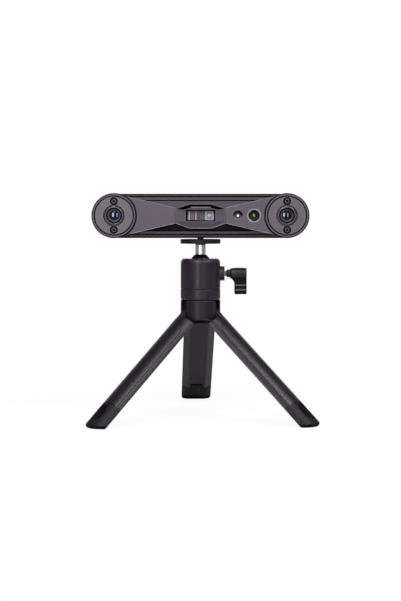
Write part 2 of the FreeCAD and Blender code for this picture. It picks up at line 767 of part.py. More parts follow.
def mount_plate():
    body = new_body("mount_plate")
    revolve(body, [
        (0, plate_low + 1.4), (3.06, plate_low + 1.4), (3.06, plate_low), (plate_radius - 0.3, plate_low),
        (plate_radius, plate_low + 0.3), (plate_radius, plate_high - 0.3),
        (plate_radius - 0.3, plate_high), (0.5 * quarter_inch, plate_high),
        (0.5 * quarter_inch, plate_high - 1.6), (0, plate_high - 1.6)])
    return node(body, tripod_place)


def mount_screw():
    body = new_body("mount_screw")
    top = head_z - 10.5
    thread = 0.5 * quarter_inch
    revolve(body, [(0, plate_high - 1.6), (thread, plate_high - 1.6), (thread, top - 0.7),
                   (thread - 0.7, top), (0, top)])
    return node(body, tripod_place)


def ball_stem():
    """The ball, its stem and the short spigot that the plate turns with."""
    body = new_body("ball_stem")
    neck = ball_z + root(ball_radius * ball_radius - stem_radius * stem_radius)
    foot = ball_z - root(ball_radius * ball_radius - 9)
    top = plate_low - 0.1
    revolve(body, [
        (0, foot), (3, foot, ball_radius, 1), (ball_radius, ball_z, ball_radius, 1),
        (stem_radius, neck), (stem_radius, top), (3, top), (3, plate_low + 1.3), (0, plate_low + 1.3)])
    return node(body, tripod_place)


def ball_housing():
    body = new_body("ball_housing")
    seat = ball_radius + seat_clearance
    low, high = ball_z - 1.8, housing_high - 0.4
    low_radius = root(seat * seat - 1.8 * 1.8)
    high_radius = root(seat * seat - (high - ball_z) * (high - ball_z))
    revolve(body, [
        (housing_bore, housing_low + 0.05), (head_radius - 0.4, housing_low + 0.05),
        (head_radius, housing_low + 0.45), (head_radius, housing_high - 3.6, 5.0, 1),
        (head_radius - 2, housing_high), (high_radius + 0.6, housing_high), (high_radius, high, seat, -1),
        (seat, ball_z, seat, -1), (low_radius, low), (housing_bore, low)])
    slab(body, "YZ", [(0, knob_z, collar_radius)], collar_reach - 8.2, collar_reach)
    cut(body, "YZ", [(0, knob_z, collar_radius + 1), (0, knob_z, collar_radius - 0.4)],
        collar_reach - 2.2, collar_reach - 1.6)
    cut(body, "YZ", [(0, knob_z, clamp_radius + running_gap)], 12, collar_reach)
    cut(body, "YZ", [(0, knob_z, plug_radius + running_gap)], 5, 14.2)
    return node(body, tripod_place)


def ball_seat():
    """The nylon cup under the ball, with a cross hole for the clamp plug."""
    body = new_body("ball_seat")
    seat = ball_radius + seat_clearance
    top, bottom = ball_z - 5.1, ball_z - 13.6
    top_radius = root(seat * seat - 5.1 * 5.1)
    hole_top = ball_z - root(seat * seat - 9)
    revolve(body, [(3, bottom), (housing_bore, bottom), (housing_bore, top), (top_radius, top, seat, -1),
                   (3, hole_top)])
    cut(body, "YZ", [(0, knob_z, plug_radius + running_gap)], 0, 12)
    return node(body, tripod_place)


def seat_ring():
    body = new_body("seat_ring")
    revolve(body, ring_profile(spigot_radius + running_gap, housing_bore, housing_low + 0.3,
                               housing_low + 3.2))
    return node(body, tripod_place)


def pan_base():
    body = new_body("pan_base")
    top = housing_low - 0.05
    spigot_top = housing_low + 3.4
    stud = 0.5 * quarter_inch
    revolve(body, [
        (stud, base_low), (head_radius - 1.2, base_low, 1.2, 1), (head_radius, base_low + 1.2),
        (head_radius, top - 0.4), (head_radius - 0.4, top), (spigot_radius, top),
        (spigot_radius, spigot_top), (1.6, spigot_top), (1.6, spigot_top - 5), (0, spigot_top - 5),
        (0, base_low + 6), (stud, base_low + 6)])
    return node(body, tripod_place)


def pan_screw():
    body = new_body("pan_screw")
    seat = housing_low + 3.4
    revolve(body, [(0, seat - 5), (1.6, seat - 5), (1.6, seat), (9.6, seat), (9.6, seat + 0.8),
                   (3, seat + 0.8), (3, seat + 2.2), (0, seat + 2.2)])
    return node(body, tripod_place)


def clamp_plunger():
    """The nylon plug that the clamp screw presses against the lower side of the ball."""
    body = new_body("clamp_plunger")
    revolve(body, [(0, 5.0), (1.0, 5.0), (plug_radius, 8.6), (plug_radius, 12.4), (0, 12.4)])
    return node(body, *knob_place)


def clamp_screw():
    body = new_body("clamp_screw")
    revolve(body, [(0, 12.4), (clamp_radius, 12.4), (clamp_radius, 32), (0, 32)])
    return node(body, *knob_place)


def clamp_knob():
    """A crowned barrel with a wing hanging down from it. Local +Z points along +X, +X down."""
    body = new_body("clamp_knob")
    wing_start, corner = knob_end - 10.4, 1.0
    slab(body, "XZ", [[
        (0, knob_end - 9), (0, knob_end), (knob_hang - corner, knob_end, corner, -1),
        (knob_hang, knob_end - corner), (knob_hang, wing_start + corner, corner, -1),
        (knob_hang - corner, wing_start), (9.6, wing_start, 5.6, 1), (4.2, knob_end - 14),
        (0, knob_end - 14)]], -knob_wing_half, knob_wing_half)
    ribs = [rectangle(reach - 0.7, reach + 0.7, wing_start + 0.9, knob_end - 0.8) for reach in (10, 14)]
    slab(body, "XZ", ribs, -knob_wing_half - knob_rib, knob_wing_half + knob_rib)
    revolve(body, [
        (0, knob_start), (2.9, knob_start), (3.4, knob_start + 0.8), (3.4, knob_start + 2.8),
        (knob_radius - 0.5, knob_start + 3.8), (knob_radius - 0.3, knob_start + 4.4, 60, 1),
        (knob_radius - 0.3, knob_end - 0.3), (knob_radius - 0.6, knob_end), (0, knob_end)])
    cut(body, "XY", [(0, 0, clamp_radius)], knob_start, 32)
    return node(body, *knob_place)


mount_plate()
mount_screw()
ball_stem()
ball_housing()
ball_seat()
seat_ring()
pan_base()
pan_screw()
clamp_plunger()
clamp_screw()
clamp_knob()


# ---------------------------------------------------------------- tripod hub
# Drawn with the first leg along +X; the other two follow at thirds of a turn.

hub_place = [tripod_place, turn(Z_WAYS, 90 + tripod_yaw)]
key_half = pin_radius - 0.1


def hub_body():
    body = new_body("hub_body")
    stud = 0.5 * quarter_inch
    revolve(body, [
        (stud, hub_low), (head_radius - 2, hub_low, 2.0, 1), (head_radius, hub_low + 2),
        (head_radius, hub_seam), (stud, hub_seam)])
    slot = cut(body, "XY", [rectangle(slot_inner, head_radius + 1, -slot_half, slot_half)],
               hub_low - 1, hub_seam)
    round_the_axis(body, slot, 3)
    near, far = pivot_reach - pin_radius, pivot_reach + pin_radius
    cradle = cut(body, "XZ", [[
        (near, pivot_z, pin_radius, 1), (pivot_reach, pivot_z - pin_radius, pin_radius, 1),
        (far, pivot_z), (far, hub_seam), (near, hub_seam)]], -0.5 * pin_length, 0.5 * pin_length)
    round_the_axis(body, cradle, 3)
    corner = 6.0
    side = 12.5
    corners = [[
        (way * side, hub_low - 0.1), (way * side, hub_low + corner),
        (way * (side - 0.8), hub_low + corner, corner, way * -1), (way * (side - 0.8 - corner), hub_low),
        (way * (side - 0.8 - corner), hub_low - 0.1)] for way in (-1, 1)]
    rounding = cut(body, "YZ", corners, -head_radius - 1, -slot_inner)
    round_the_axis(body, rounding, 3)
    return node(body, *hub_place)


def hub_cap():
    """A disc that closes the hub; its keys hold the hinge pins down in their cradles."""
    body = new_body("hub_cap")
    stud = 0.5 * quarter_inch
    revolve(body, [
        (stud, hub_seam), (head_radius, hub_seam), (head_radius, base_low - 0.9),
        (head_radius - 0.9, base_low), (stud, base_low)])
    keys = slab(body, "YZ", [
        rectangle(slot_half, 0.5 * pin_length, pivot_z + pin_radius, hub_seam + 0.5),
        rectangle(-0.5 * pin_length, -slot_half, pivot_z + pin_radius, hub_seam + 0.5)],
        pivot_reach - key_half, pivot_reach + key_half)
    round_the_axis(body, keys, 3)
    slot = cut(body, "XY", [rectangle(slot_inner, head_radius + 1, -slot_half, slot_half)],
               hub_seam - 1, base_low)
    round_the_axis(body, slot, 3)
    return node(body, *hub_place)


def hinge_pins():
    pins = []
    for step in range(3):
        pin = doc.addObject("Part::Cylinder", "hinge_pin")
        pin.setExpression("Radius", f"{pin_radius}")
        pin.setExpression("Height", f"{pin_length}")
        place(pin, *hub_place, turn(Z_WAYS, 120 * step), at(pivot_reach, 0.5 * pin_length, pivot_z),
              turn(X_WAYS, 90))
        pins.append(pin)
    group("hinge_pins", pins)


def head_stud():
    body = new_body("head_stud")
    stud = 0.5 * quarter_inch
    revolve(body, [(0, hub_low + 4), (stud, hub_low + 4), (stud, base_low + 5.8), (0, base_low + 5.8)])
    return node(body, tripod_place)


hub_body()
hub_cap()
hinge_pins()
head_stud()


# ---------------------------------------------------------------- legs
# One set of shapes, drawn closed: the tripod axis is Z, +X points out through the leg and the
# height of the hinge pin is zero. Each leg is this set swung out about its pin.

def leg_section(inset=0):
    """A third of a round bar with a flat inner side, or the same drawn in by an inset."""
    gap, radius = leg_gap + inset, leg_radius - inset

    def flank(run):
        return (run * cosine(60) + gap * sine(60), run * sine(60) - gap * cosine(60))

    inner_x, inner_y = flank((leg_flat + inset - gap * sine(60)) / cosine(60))
    outer_x, outer_y = flank(root(radius * radius - gap * gap))
    return [(inner_x, -inner_y), (outer_x, -outer_y, radius, 1), (outer_x, outer_y), (inner_x, inner_y)]


def floor_at(reach):
    """Height of the floor in the closed leg's frame, at this distance from the axis."""
    return -1 * (pivot_z + (reach - pivot_reach) * sine(splay)) / cosine(splay)


def leg_blank():
    body = new_body("leg_blank")
    slab(body, "XY", [leg_section()], foot_groove - leg_seam, -leg_top)
    slab(body, "XY", [leg_section(foot_inset)], -leg_seam, foot_groove - leg_seam)
    top_left, top_right = pivot_reach - knuckle_radius, pivot_reach + knuckle_radius
    slab(body, "XZ", [[
        (top_left, -leg_top - 1), (15.6, -leg_top - 1), (top_right, 0, knuckle_radius, 1),
        (pivot_reach, knuckle_radius, knuckle_radius, 1), (top_left, 0)]], -knuckle_half, knuckle_half)
    cut(body, "XZ", [(pivot_reach, 0, pin_radius + running_gap)], -knuckle_half, knuckle_half)
    hollow_half, ledge = panel_half - 1.1, 2.5
    cut(body, "YZ", [rectangle(-hollow_half, hollow_half, ledge + 1 - panel_end, -ledge - panel_top)],
        leg_flat, 12.5)
    cut(body, "YZ", [rectangle(-panel_half, panel_half, foot_groove - leg_seam, -latch_top)],
        leg_flat, leg_flat + 0.6)
    latch_half, latch_low = panel_half - 1, latch_top + 10.5
    cut(body, "YZ", [rectangle(-latch_half, latch_half, -latch_low, 2 - latch_low)],
        leg_flat, leg_flat + 2.2)
    return body


def grip_blank(label, gap):
    """The curved grip panel with its arched top, or with a gap the pocket that it lies in."""
    body = new_body(label)
    inner = leg_radius - grip_thick
    half_wide = leg_radius * sine(grip_angle) + gap
    top = gap - grip_top
    inner_x, outer_x = (root(r * r - half_wide * half_wide) for r in (inner, leg_radius))
    slab(body, "XY", [[
        (inner_x, -half_wide), (outer_x, -half_wide, leg_radius, 1), (outer_x, half_wide),
        (inner_x, half_wide, inner, -1)]], foot_groove - leg_seam, top)
    corners = [[
        (0, top + 0.5), (0, top, half_wide, way * -1), (way * half_wide, top - half_wide),
        (way * (half_wide + 0.5), top - half_wide), (way * (half_wide + 0.5), top + 0.5)]
        for way in (-1, 1)]
    cut(body, "YZ", corners, 8, leg_radius + 1)
    return body


def inner_panel(label):
    """The plate that closes the hollow of a leg on its flat inner side."""
    body = new_body(label)
    slab(body, "YZ", [rectangle(-panel_half, panel_half, -panel_end, -panel_top)],
         leg_flat, leg_flat + panel_thick)
    return body


def foot_blank():
    body = new_body("foot_blank")
    far = leg_radius + 4
    low = floor_at(far) - 5
    slab(body, "XY", [leg_section()], low, -leg_seam)
    cut(body, "XZ", [[(0, floor_at(0)), (0, low - 1), (far, low - 1), (far, floor_at(far))]],
        -leg_radius, leg_radius)

    def toe_edge(middle):
        return middle.x > 15 and abs(middle.z - floor_at(middle.x).value) < 0.05

    dress(body, "Fillet", toe_round, toe_edge)
    return body


def sole_blank():
    """The slab just above the floor, thick enough for the rubber sole."""
    body = new_body("sole_blank")
    up = sole_thick / cosine(splay)
    far = leg_radius + 6
    slab(body, "XZ", [[(0, floor_at(0) - 1), (far, floor_at(far) - 1), (far, floor_at(far) + up),
                       (0, floor_at(0) + up)]], -leg_radius, leg_radius)
    return body


def scoop():
    """The finger scoop in the outer face of a foot cap."""
    hollow = doc.addObject("Part::Ellipsoid", "scoop")
    hollow.Radius1 = 4.0
    hollow.Radius2 = 9.2
    hollow.Radius3 = 7.2
    place(hollow, at(leg_radius + 0.3, 0, -leg_seam - 9.9), turn(Y_WAYS, 90))
    return hollow


leg_shape = leg_blank()
grip_shape = grip_blank("grip_blank", size(0))
grip_room = grip_blank("grip_room", grip_gap)
panel_room = inner_panel("panel_room")
foot_shape = foot_blank()
sole_shape = sole_blank()
outer_tools = doc.addObject("Part::MultiFuse", "leg_recesses")
outer_tools.Shapes = [grip_room, panel_room]
foot_tools = doc.addObject("Part::MultiFuse", "foot_recesses")
foot_tools.Shapes = [sole_shape, scoop()]

for name, azimuth in (("rear", 90), ("left", 210), ("right", 330)):
    swing = [tripod_place, turn(Z_WAYS, azimuth + tripod_yaw), at(pivot_reach, 0, pivot_z),
             turn(Y_WAYS, -splay), at(-pivot_reach, 0, 0)]
    node(boolean("Cut", f"{name}_leg_body", leg_shape, outer_tools), *swing)
    node(boolean("Common", f"{name}_leg_grip", grip_shape, leg_shape), *swing)
    node(inner_panel(f"{name}_leg_inner_panel"), *swing)
    node(boolean("Cut", f"{name}_foot_cap", foot_shape, foot_tools), *swing)
    node(boolean("Common", f"{name}_foot_sole", foot_shape, sole_shape), *swing)


# ---------------------------------------------------------------- checks and export

def check_features():
    """Every feature has to be sound, and every cut has to take something away."""
    for item in doc.Objects:
        if "Invalid" in item.State or "Error" in item.State:
            raise RuntimeError(f"{item.Label} failed: {item.State}")
        if item.TypeId in ("PartDesign::Pocket", "PartDesign::Groove", "PartDesign::SubtractiveLoft"):
            if item.Shape.Volume > item.BaseFeature.Shape.Volume - 0.01:
                raise RuntimeError(f"{item.Label} cuts nothing")


def check_and_export():
    os.makedirs("parts", exist_ok=True)
    for label, thing in nodes.items():
        shape = thing.Shape
        if shape.isNull() or not shape.isValid() or not shape.Solids:
            raise RuntimeError(f"{label} has no sound solid")
        shape.exportStep(f"parts/{label}.step")
    everything = Part.makeCompound([thing.Shape for thing in nodes.values()])
    box = everything.BoundBox
    print(f"{len(nodes)} nodes, {sum(len(thing.Shape.Solids) for thing in nodes.values())} solids")
    low, high = (box.XMin, box.YMin, box.ZMin), (box.XMax, box.YMax, box.ZMax)
    print("box", *(f"{value:.2f}" for value in low), "to", *(f"{value:.2f}" for value in high))


doc.recompute()
check_features()
check_and_export()
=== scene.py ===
import json
from math import acos, atan2, cos, hypot, radians, sin, sqrt

import bpy
from mathutils import Matrix, Vector


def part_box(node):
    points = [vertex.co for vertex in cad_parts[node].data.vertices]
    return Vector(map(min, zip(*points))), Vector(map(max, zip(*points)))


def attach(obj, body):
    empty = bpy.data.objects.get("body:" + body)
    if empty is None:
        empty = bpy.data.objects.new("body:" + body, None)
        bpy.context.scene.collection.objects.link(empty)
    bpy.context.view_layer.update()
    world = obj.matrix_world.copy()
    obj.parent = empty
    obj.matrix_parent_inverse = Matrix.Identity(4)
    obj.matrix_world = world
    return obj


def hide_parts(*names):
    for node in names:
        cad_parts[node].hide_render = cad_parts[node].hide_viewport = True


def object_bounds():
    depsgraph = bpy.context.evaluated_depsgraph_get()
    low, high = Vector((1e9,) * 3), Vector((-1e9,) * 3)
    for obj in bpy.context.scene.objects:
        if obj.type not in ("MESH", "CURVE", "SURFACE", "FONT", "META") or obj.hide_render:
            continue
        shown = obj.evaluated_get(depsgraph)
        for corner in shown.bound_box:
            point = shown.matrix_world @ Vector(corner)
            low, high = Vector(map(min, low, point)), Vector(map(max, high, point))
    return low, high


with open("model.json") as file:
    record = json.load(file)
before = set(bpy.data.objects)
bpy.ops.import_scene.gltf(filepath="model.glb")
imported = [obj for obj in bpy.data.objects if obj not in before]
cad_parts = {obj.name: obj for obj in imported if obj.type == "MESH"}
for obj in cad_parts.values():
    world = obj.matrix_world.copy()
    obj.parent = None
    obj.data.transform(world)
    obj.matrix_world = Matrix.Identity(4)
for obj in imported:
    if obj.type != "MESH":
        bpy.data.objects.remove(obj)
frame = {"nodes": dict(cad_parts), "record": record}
nodes = frame["nodes"]
cad_low, cad_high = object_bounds()
print("the object is", [round(high - low, 4) for low, high in zip(cad_low, cad_high)], "metres")

MM = 0.001

# %% [markdown]
# ## Where things are
# A few centres carry most of the pieces. Each is read from the box of a CAD node, so the pieces
# follow the model. The scanner's own are measured forwards from its middle plane, which holds the
# tripod axis.
# %% Centres read from the frame


def middle(node):
    low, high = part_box(node)
    return (low + high) / 2


tripod = middle("mount_plate")
clamp = middle("clamp_screw")


def on_the_middle_plane(node):
    spot = middle(node)
    return Vector((spot.x, tripod.y, spot.z))


left_eye = on_the_middle_plane("left_face_disc")
right_eye = on_the_middle_plane("right_face_disc")
lamp_spot = on_the_middle_plane("flash_led")
colour_spot = on_the_middle_plane("colour_camera_ring")
head = (left_eye + right_eye) / 2
axis_foot = Vector((tripod.x, tripod.y, 0))
print("camera axes at", round(left_eye.x, 4), round(right_eye.x, 4))
print("tripod axis at", round(tripod.x, 4), round(tripod.y, 4))

# %% [markdown]
# ## Colour
# Colours are written as sRGB hex values, the way a paint or plastics chart gives them. A shader
# works in linear light, so one function turns the first into the second.
# %% Hex to linear


def colour(code):
    channels = [int(code[start:start + 2], 16) / 255 for start in (1, 3, 5)]
    linear = [c / 12.92 if c <= 0.04045 else ((c + 0.055) / 1.055) ** 2.4 for c in channels]
    return (*linear, 1.0)


print("a middle grey in linear light is", round(colour("#808080")[0], 3))

# %% [markdown]
# ## Nodes
# One small function adds any node: settings are set by name, and what goes into a socket is either
# a plain value or another node's output. Every material below is a few of its calls.
# %% One helper for every node


def add(tree, kind, inputs=None, **settings):
    made = tree.nodes.new(kind)
    for name, value in settings.items():
        setattr(made, name, value)
    for socket, value in (inputs or {}).items():
        if isinstance(value, bpy.types.NodeSocket):
            tree.links.new(value, made.inputs[socket])
        else:
            made.inputs[socket].default_value = value
    return made


def shader_of(material):
    return material.node_tree.nodes["Principled BSDF"]


def start_material(name, **plain):
    """A material with one Principled shader, its uniform values set on the shader itself."""
    material = bpy.data.materials.new(name)
    material.use_nodes = True
    shader = shader_of(material)
    for socket, value in plain.items():
        shader.inputs[socket.replace("_", " ")].default_value = value
    return material, material.node_tree, shader


# %% [markdown]
# ## Moulded plastics
# The shells and the tripod are moulded. The mould's wall is spark-eroded, which leaves a fine
# random grain that breaks up the gloss into a satin look. The real grain is about 0.05 mm. It is
# drawn at 0.5 mm and more, because finer wouldn't show. A larger, faint cloudiness keeps a wide
# flat face from looking computed.
# %% A grained plastic
CLOUD_MM, CLOUD_SHARE = 25, 0.25
# Most of a noise texture lies between these two values.
NOISE_LOW, NOISE_HIGH = 0.3, 0.7


def grained_plastic(name, code, grain_mm, depth_mm, roughness,
                    spread=0.12, specular=0.25, mottle=0.06):
    """Spread is how far the colour strays, and mottle how far the roughness does."""
    material, tree, shader = start_material(name, Specular_IOR_Level=specular)
    place = add(tree, "ShaderNodeTexCoord").outputs["Object"]
    grain = add(tree, "ShaderNodeTexNoise", {"Vector": place, "Scale": 1 / (grain_mm * MM),
                                             "Detail": 3.0, "Roughness": 0.6}).outputs["Fac"]
    cloud = add(tree, "ShaderNodeTexNoise", {"Vector": place, "Scale": 1 / (CLOUD_MM * MM),
                                             "Detail": 2.0}).outputs["Fac"]
    both = add(tree, "ShaderNodeMix", {"Factor": CLOUD_SHARE, "A": grain, "B": cloud})
    ramp = add(tree, "ShaderNodeValToRGB", {"Fac": both.outputs["Result"]})
    tint = colour(code)[:3]
    for element, position, way in zip(ramp.color_ramp.elements, (0.35, 0.65), (-1, 1)):
        element.position = position
        element.color = (*(channel * (1 + way * spread) for channel in tint), 1.0)
    tree.links.new(ramp.outputs["Color"], shader.inputs["Base Color"])
    gloss = add(tree, "ShaderNodeMapRange", {
        "Value": grain, "From Min": NOISE_LOW, "From Max": NOISE_HIGH,
        "To Min": roughness - mottle, "To Max": roughness + mottle})
    tree.links.new(gloss.outputs["Result"], shader.inputs["Roughness"])
    bump = add(tree, "ShaderNodeBump", {"Height": grain, "Distance": depth_mm * MM})
    tree.links.new(bump.outputs["Normal"], shader.inputs["Normal"])
    return material


# Polycarbonate-ABS blend, spark-eroded: a dark warm grey with a wide soft sheen.
shell_abs = grained_plastic("spark_eroded_pc_abs", "#58515a", 0.5, 0.02, 0.5)
# The ribs between the round ends come from a finer part of the mould, and look darker.
rib_abs = grained_plastic("fine_textured_pc_abs", "#49434b", 0.5, 0.008, 0.4)
# The discs carry a coarser grain, so they look a little lighter and sandy, and hold more sheen.
disc_abs = grained_plastic("sandy_grained_pc_abs", "#59525b", 0.8, 0.04, 0.4,
                           spread=0.25, specular=0.5)
# The lower wing chamfers and most beads are drawn lighter, as a painted highlight.
painted_highlight_abs = grained_plastic("pc_abs_with_painted_highlight", "#8f8991", 0.5, 0.002, 0.35, specular=0.5)
# Black painted shade, on the end chamfers, in grooves and hollows, and where an edge casts shadow.
painted_shade_black = grained_plastic("black_painted_shade", "#0b0a0b", 0.5, 0.01, 0.7, specular=0.1)
# The funnel's roof above the window is drawn black as painted shadow.
painted_shadow_black = grained_plastic("black_flocked_baffle", "#040404", 0.4, 0.05, 0.9, specular=0.05)
# Its lower wall is drawn darker as painted shade.
painted_shade_abs = grained_plastic("pc_abs_with_painted_shade", "#38353a", 0.5, 0.01, 0.5)
# Glass-filled nylon: nearly black with a touch of purple, and a tighter gloss than the shells.
black_nylon = grained_plastic("moulded_glass_filled_nylon", "#180f1a", 0.6, 0.001, 0.4,
                              spread=0.05, specular=0.34, mottle=0.01)
# The feet are a rougher nylon, drawn a little darker as painted shade. The scoops of the feet
# and the wing of the clamp knob are drawn near black as painted shade.
shaded_foot_nylon = grained_plastic("rough_nylon_with_painted_shade", "#150d17", 0.6, 0.001, 0.5,
                             spread=0.05, specular=0.2, mottle=0.01)
painted_shade_nylon = grained_plastic("nylon_with_painted_shade", "#080608", 0.6, 0.01, 0.6, specular=0.12)
# The ribs of the clamp knob are drawn smoother, and lighter as a painted highlight.
painted_highlight_nylon = grained_plastic("thumb_polished_nylon", "#4d484e", 0.6, 0.001, 0.35,
                                 spread=0.05, specular=0.5, mottle=0.01)
# Thermoplastic rubber has no gloss to speak of, and a coarse dusty grain.
black_rubber = grained_plastic("moulded_rubber", "#070707", 0.9, 0.05, 0.8, specular=0.1)
# Buttons are a smoother ABS, the modules inside a grey PBT, and small guides undyed nylon.
button_abs = grained_plastic("satin_black_abs", "#2e2b2f", 0.5, 0.01, 0.4)
module_pbt = grained_plastic("moulded_grey_pbt", "#565458", 0.5, 0.01, 0.45)
natural_nylon = grained_plastic("natural_nylon", "#d8d5c8", 0.7, 0.01, 0.4)
# A board's solder mask is a sprayed lacquer, green over copper.
solder_mask = grained_plastic("green_solder_mask", "#1c4a2c", 1.5, 0.01, 0.3,
                              spread=0.2, specular=0.5)
print(len(bpy.data.materials), "materials so far")

# %% [markdown]
# ## Turned and plated metal
# Turned metal keeps very fine rings round its axis, which pull the highlight into a streak. A wave
# texture in bands along the axis gives that as bump. Its spacing is the feed of the tool, drawn at
# 0.4 mm, coarser than the real 0.1 mm. A metal's colour is its reflection, so its base is light
# and its roughness low. Anodising dyes the oxide layer, and makes it dark and more matt.
# %% A turned metal
# A wave texture of scale 1 repeats every 0.314 metres.
WAVE_LENGTH = 0.314
# Duller and brighter patches are about this wide.
PATCH_MM = 6


def turned_metal(name, code, roughness, axis="Z", feed_mm=0.4, depth_mm=0.004,
                 metallic=1.0, specular=0.5):
    material, tree, shader = start_material(name, Metallic=metallic, Specular_IOR_Level=specular)
    shader.inputs["Base Color"].default_value = colour(code)
    place = add(tree, "ShaderNodeTexCoord").outputs["Object"]
    patches = add(tree, "ShaderNodeTexNoise", {"Vector": place, "Scale": 1 / (PATCH_MM * MM),
                                               "Detail": 4.0}).outputs["Fac"]
    gloss = add(tree, "ShaderNodeMapRange", {
        "Value": patches, "From Min": NOISE_LOW, "From Max": NOISE_HIGH,
        "To Min": roughness * 0.85, "To Max": roughness * 1.2})
    tree.links.new(gloss.outputs["Result"], shader.inputs["Roughness"])
    if depth_mm:
        rings = add(tree, "ShaderNodeTexWave", {
            "Vector": place, "Scale": WAVE_LENGTH / (feed_mm * MM), "Distortion": 0.4,
            "Detail": 1.0}, bands_direction=axis).outputs["Fac"]
        bump = add(tree, "ShaderNodeBump", {"Height": rings, "Distance": depth_mm * MM})
        tree.links.new(bump.outputs["Normal"], shader.inputs["Normal"])
    return material


# Anodised aluminium is a dyed oxide skin over metal, so it sits between plastic and metal.
black_anodised = turned_metal("black_anodised_aluminium", "#241c26", 0.38,
                              metallic=0.0, specular=0.32)
# The plate's paint is drawn darker than the housing as painted shade under the scanner.
plate_black_with_painted_shade = turned_metal("aluminium_paint_with_painted_shade", "#141115", 0.45,
                           metallic=0.0, specular=0.2)
lens_barrel = turned_metal("grey_anodised_barrel", "#3e3a3f", 0.35, axis="Y",
                           metallic=0.3, specular=0.4)
hood_black = turned_metal("satin_anodised_hood", "#423e44", 0.36, axis="Y",
                          metallic=0.0, specular=0.8)
matt_barrel = turned_metal("matt_black_anodised_barrel", "#0e0d0f", 0.5, axis="Y",
                           metallic=0.2, specular=0.2)
silver_ring = turned_metal("turned_bright_aluminium", "#8b888e", 0.4, axis="Y", depth_mm=0.002)
# Chrome is bright over polished steel, and nearly black where the bath is a black chrome.
chrome = turned_metal("brushed_chrome_plate", "#f4f2f6", 0.36, depth_mm=0.002)
ball_black = turned_metal("black_chrome_plate", "#0c0b0d", 0.2,
                          metallic=0.0, depth_mm=0, specular=0.3)
# Screws are blackened or phosphated against rust, or plated with zinc where nobody looks.
black_oxide = turned_metal("black_oxide_steel", "#454147", 0.4, axis="Y", metallic=0.8)
grey_steel = turned_metal("grey_phosphated_steel", "#4a464b", 0.5, axis="Y",
                          metallic=0.3, specular=0.3)
bright_steel = turned_metal("zinc_plated_steel", "#c9c8c4", 0.25, axis="X", depth_mm=0.006)
# A cutter leaves wider tracks on the milled bench, the cast fins are rough, and brass is bare.
milled_bench = turned_metal("milled_aluminium", "#cfcfd1", 0.35, axis="X", feed_mm=1.2)
fin_metal = turned_metal("cast_aluminium_fins", "#8d8b90", 0.5, axis="X", metallic=0.6)
insert_brass = turned_metal("turned_brass", "#d8b25c", 0.25)
print(len(bpy.data.materials), "materials so far")

# %% [markdown]
# ## Glass
# The camera lenses are coated glass that throws back a little blue. A camera is black inside, so
# its lens is a dark body with a sharp tinted reflection. The window is a thin flat pane of clear
# acrylic that bends nothing, so it is drawn with alpha, which also lets the lamps reach what is
# behind it. The lamp's phosphor glows a little by itself.
# %% Glasses
HAZE_MM = 3


def coated_glass(name, code, index=1.6, reflex="#ffffff"):
    material, tree, shader = start_material(name, IOR=index, Specular_Tint=colour(reflex))
    shader.inputs["Base Color"].default_value = colour(code)
    place = add(tree, "ShaderNodeTexCoord").outputs["Object"]
    haze = add(tree, "ShaderNodeTexNoise", {"Vector": place, "Scale": 1 / (HAZE_MM * MM),
                                            "Detail": 1.0}).outputs["Fac"]
    gloss = add(tree, "ShaderNodeMapRange", {"Value": haze, "To Min": 0.03, "To Max": 0.09})
    tree.links.new(gloss.outputs["Result"], shader.inputs["Roughness"])
    return material


lens_glass = coated_glass("coated_optical_glass", "#050912", index=2.1, reflex="#bccfec")
olive_glass = coated_glass("coated_colour_lens_glass", "#2f3a16")
yellow_glass = coated_glass("inner_colour_lens_glass", "#747c36")
red_filter = coated_glass("red_laser_filter_glass", "#96797f")
lilac_glass = coated_glass("coated_projector_glass", "#b9a6c4")
pale_glass = coated_glass("pale_projector_lens_glass", "#ebe2ef")
clear_acrylic = coated_glass("clear_acrylic", "#2a282b")
shader_of(clear_acrylic).inputs["Alpha"].default_value = 0.12
lit_phosphor = grained_plastic("lit_led_phosphor", "#f4f2ee", 0.5, 0.002, 0.4)
shader_of(lit_phosphor).inputs["Emission Color"].default_value = (1, 1, 1, 1)
shader_of(lit_phosphor).inputs["Emission Strength"].default_value = 0.5
diffuser = grained_plastic("opal_diffuser_acrylic", "#cfcdd2", 0.6, 0.005, 0.4)
print(len(bpy.data.materials), "materials in all")

# %% [markdown]
# ## Which node gets which
# The record names a material slot for every node, so the finish is looked up by slot. A node whose
# shape is already right keeps its CAD mesh and only gets the finish.
# %% Finishes by slot
finish = {
    "shell_plastic": shell_abs, "disc_plastic": disc_abs, "tripod_nylon": black_nylon,
    "sole_rubber": black_rubber, "head_black": black_anodised, "chrome_steel": chrome,
    "screw_steel": black_oxide, "bare_steel": bright_steel, "lens_glass": lens_glass,
    "clear_glass": clear_acrylic, "barrel_black": matt_barrel, "ring_silver": silver_ring,
    "bench_aluminium": milled_bench, "board_green": solder_mask, "gasket_rubber": black_rubber,
    "module_plastic": module_pbt, "led_white": natural_nylon, "insert_brass": insert_brass,
    "nylon_white": natural_nylon, "button_plastic": button_abs, "knob_plastic": black_nylon,
}
slot_of = {part["node"]: part["material_slot"] for part in frame["record"]["subparts"]}
for name, piece in nodes.items():
    piece.data.materials.clear()
    piece.data.materials.append(finish[slot_of[name]])
print(len(nodes), "nodes dressed")

# %% [markdown]
# ## Soft edges
# No moulded or machined edge is perfectly sharp, and the thin line of light along it makes it
# look real. A CAD mesh comes as loose triangles, so it is welded, its flat triangles are dissolved
# into whole faces, and then a bevel rounds the edges between them. The last modifier keeps the
# large faces flat in the shading. All four stay live, because a CAD node's own mesh isn't changed.
# %% A rounded edge on every CAD node
WELD_MM = 0.002
FLAT_DEGREES = 0.6
CREASE_DEGREES = 30
LARGE_FACES_ONLY = 100


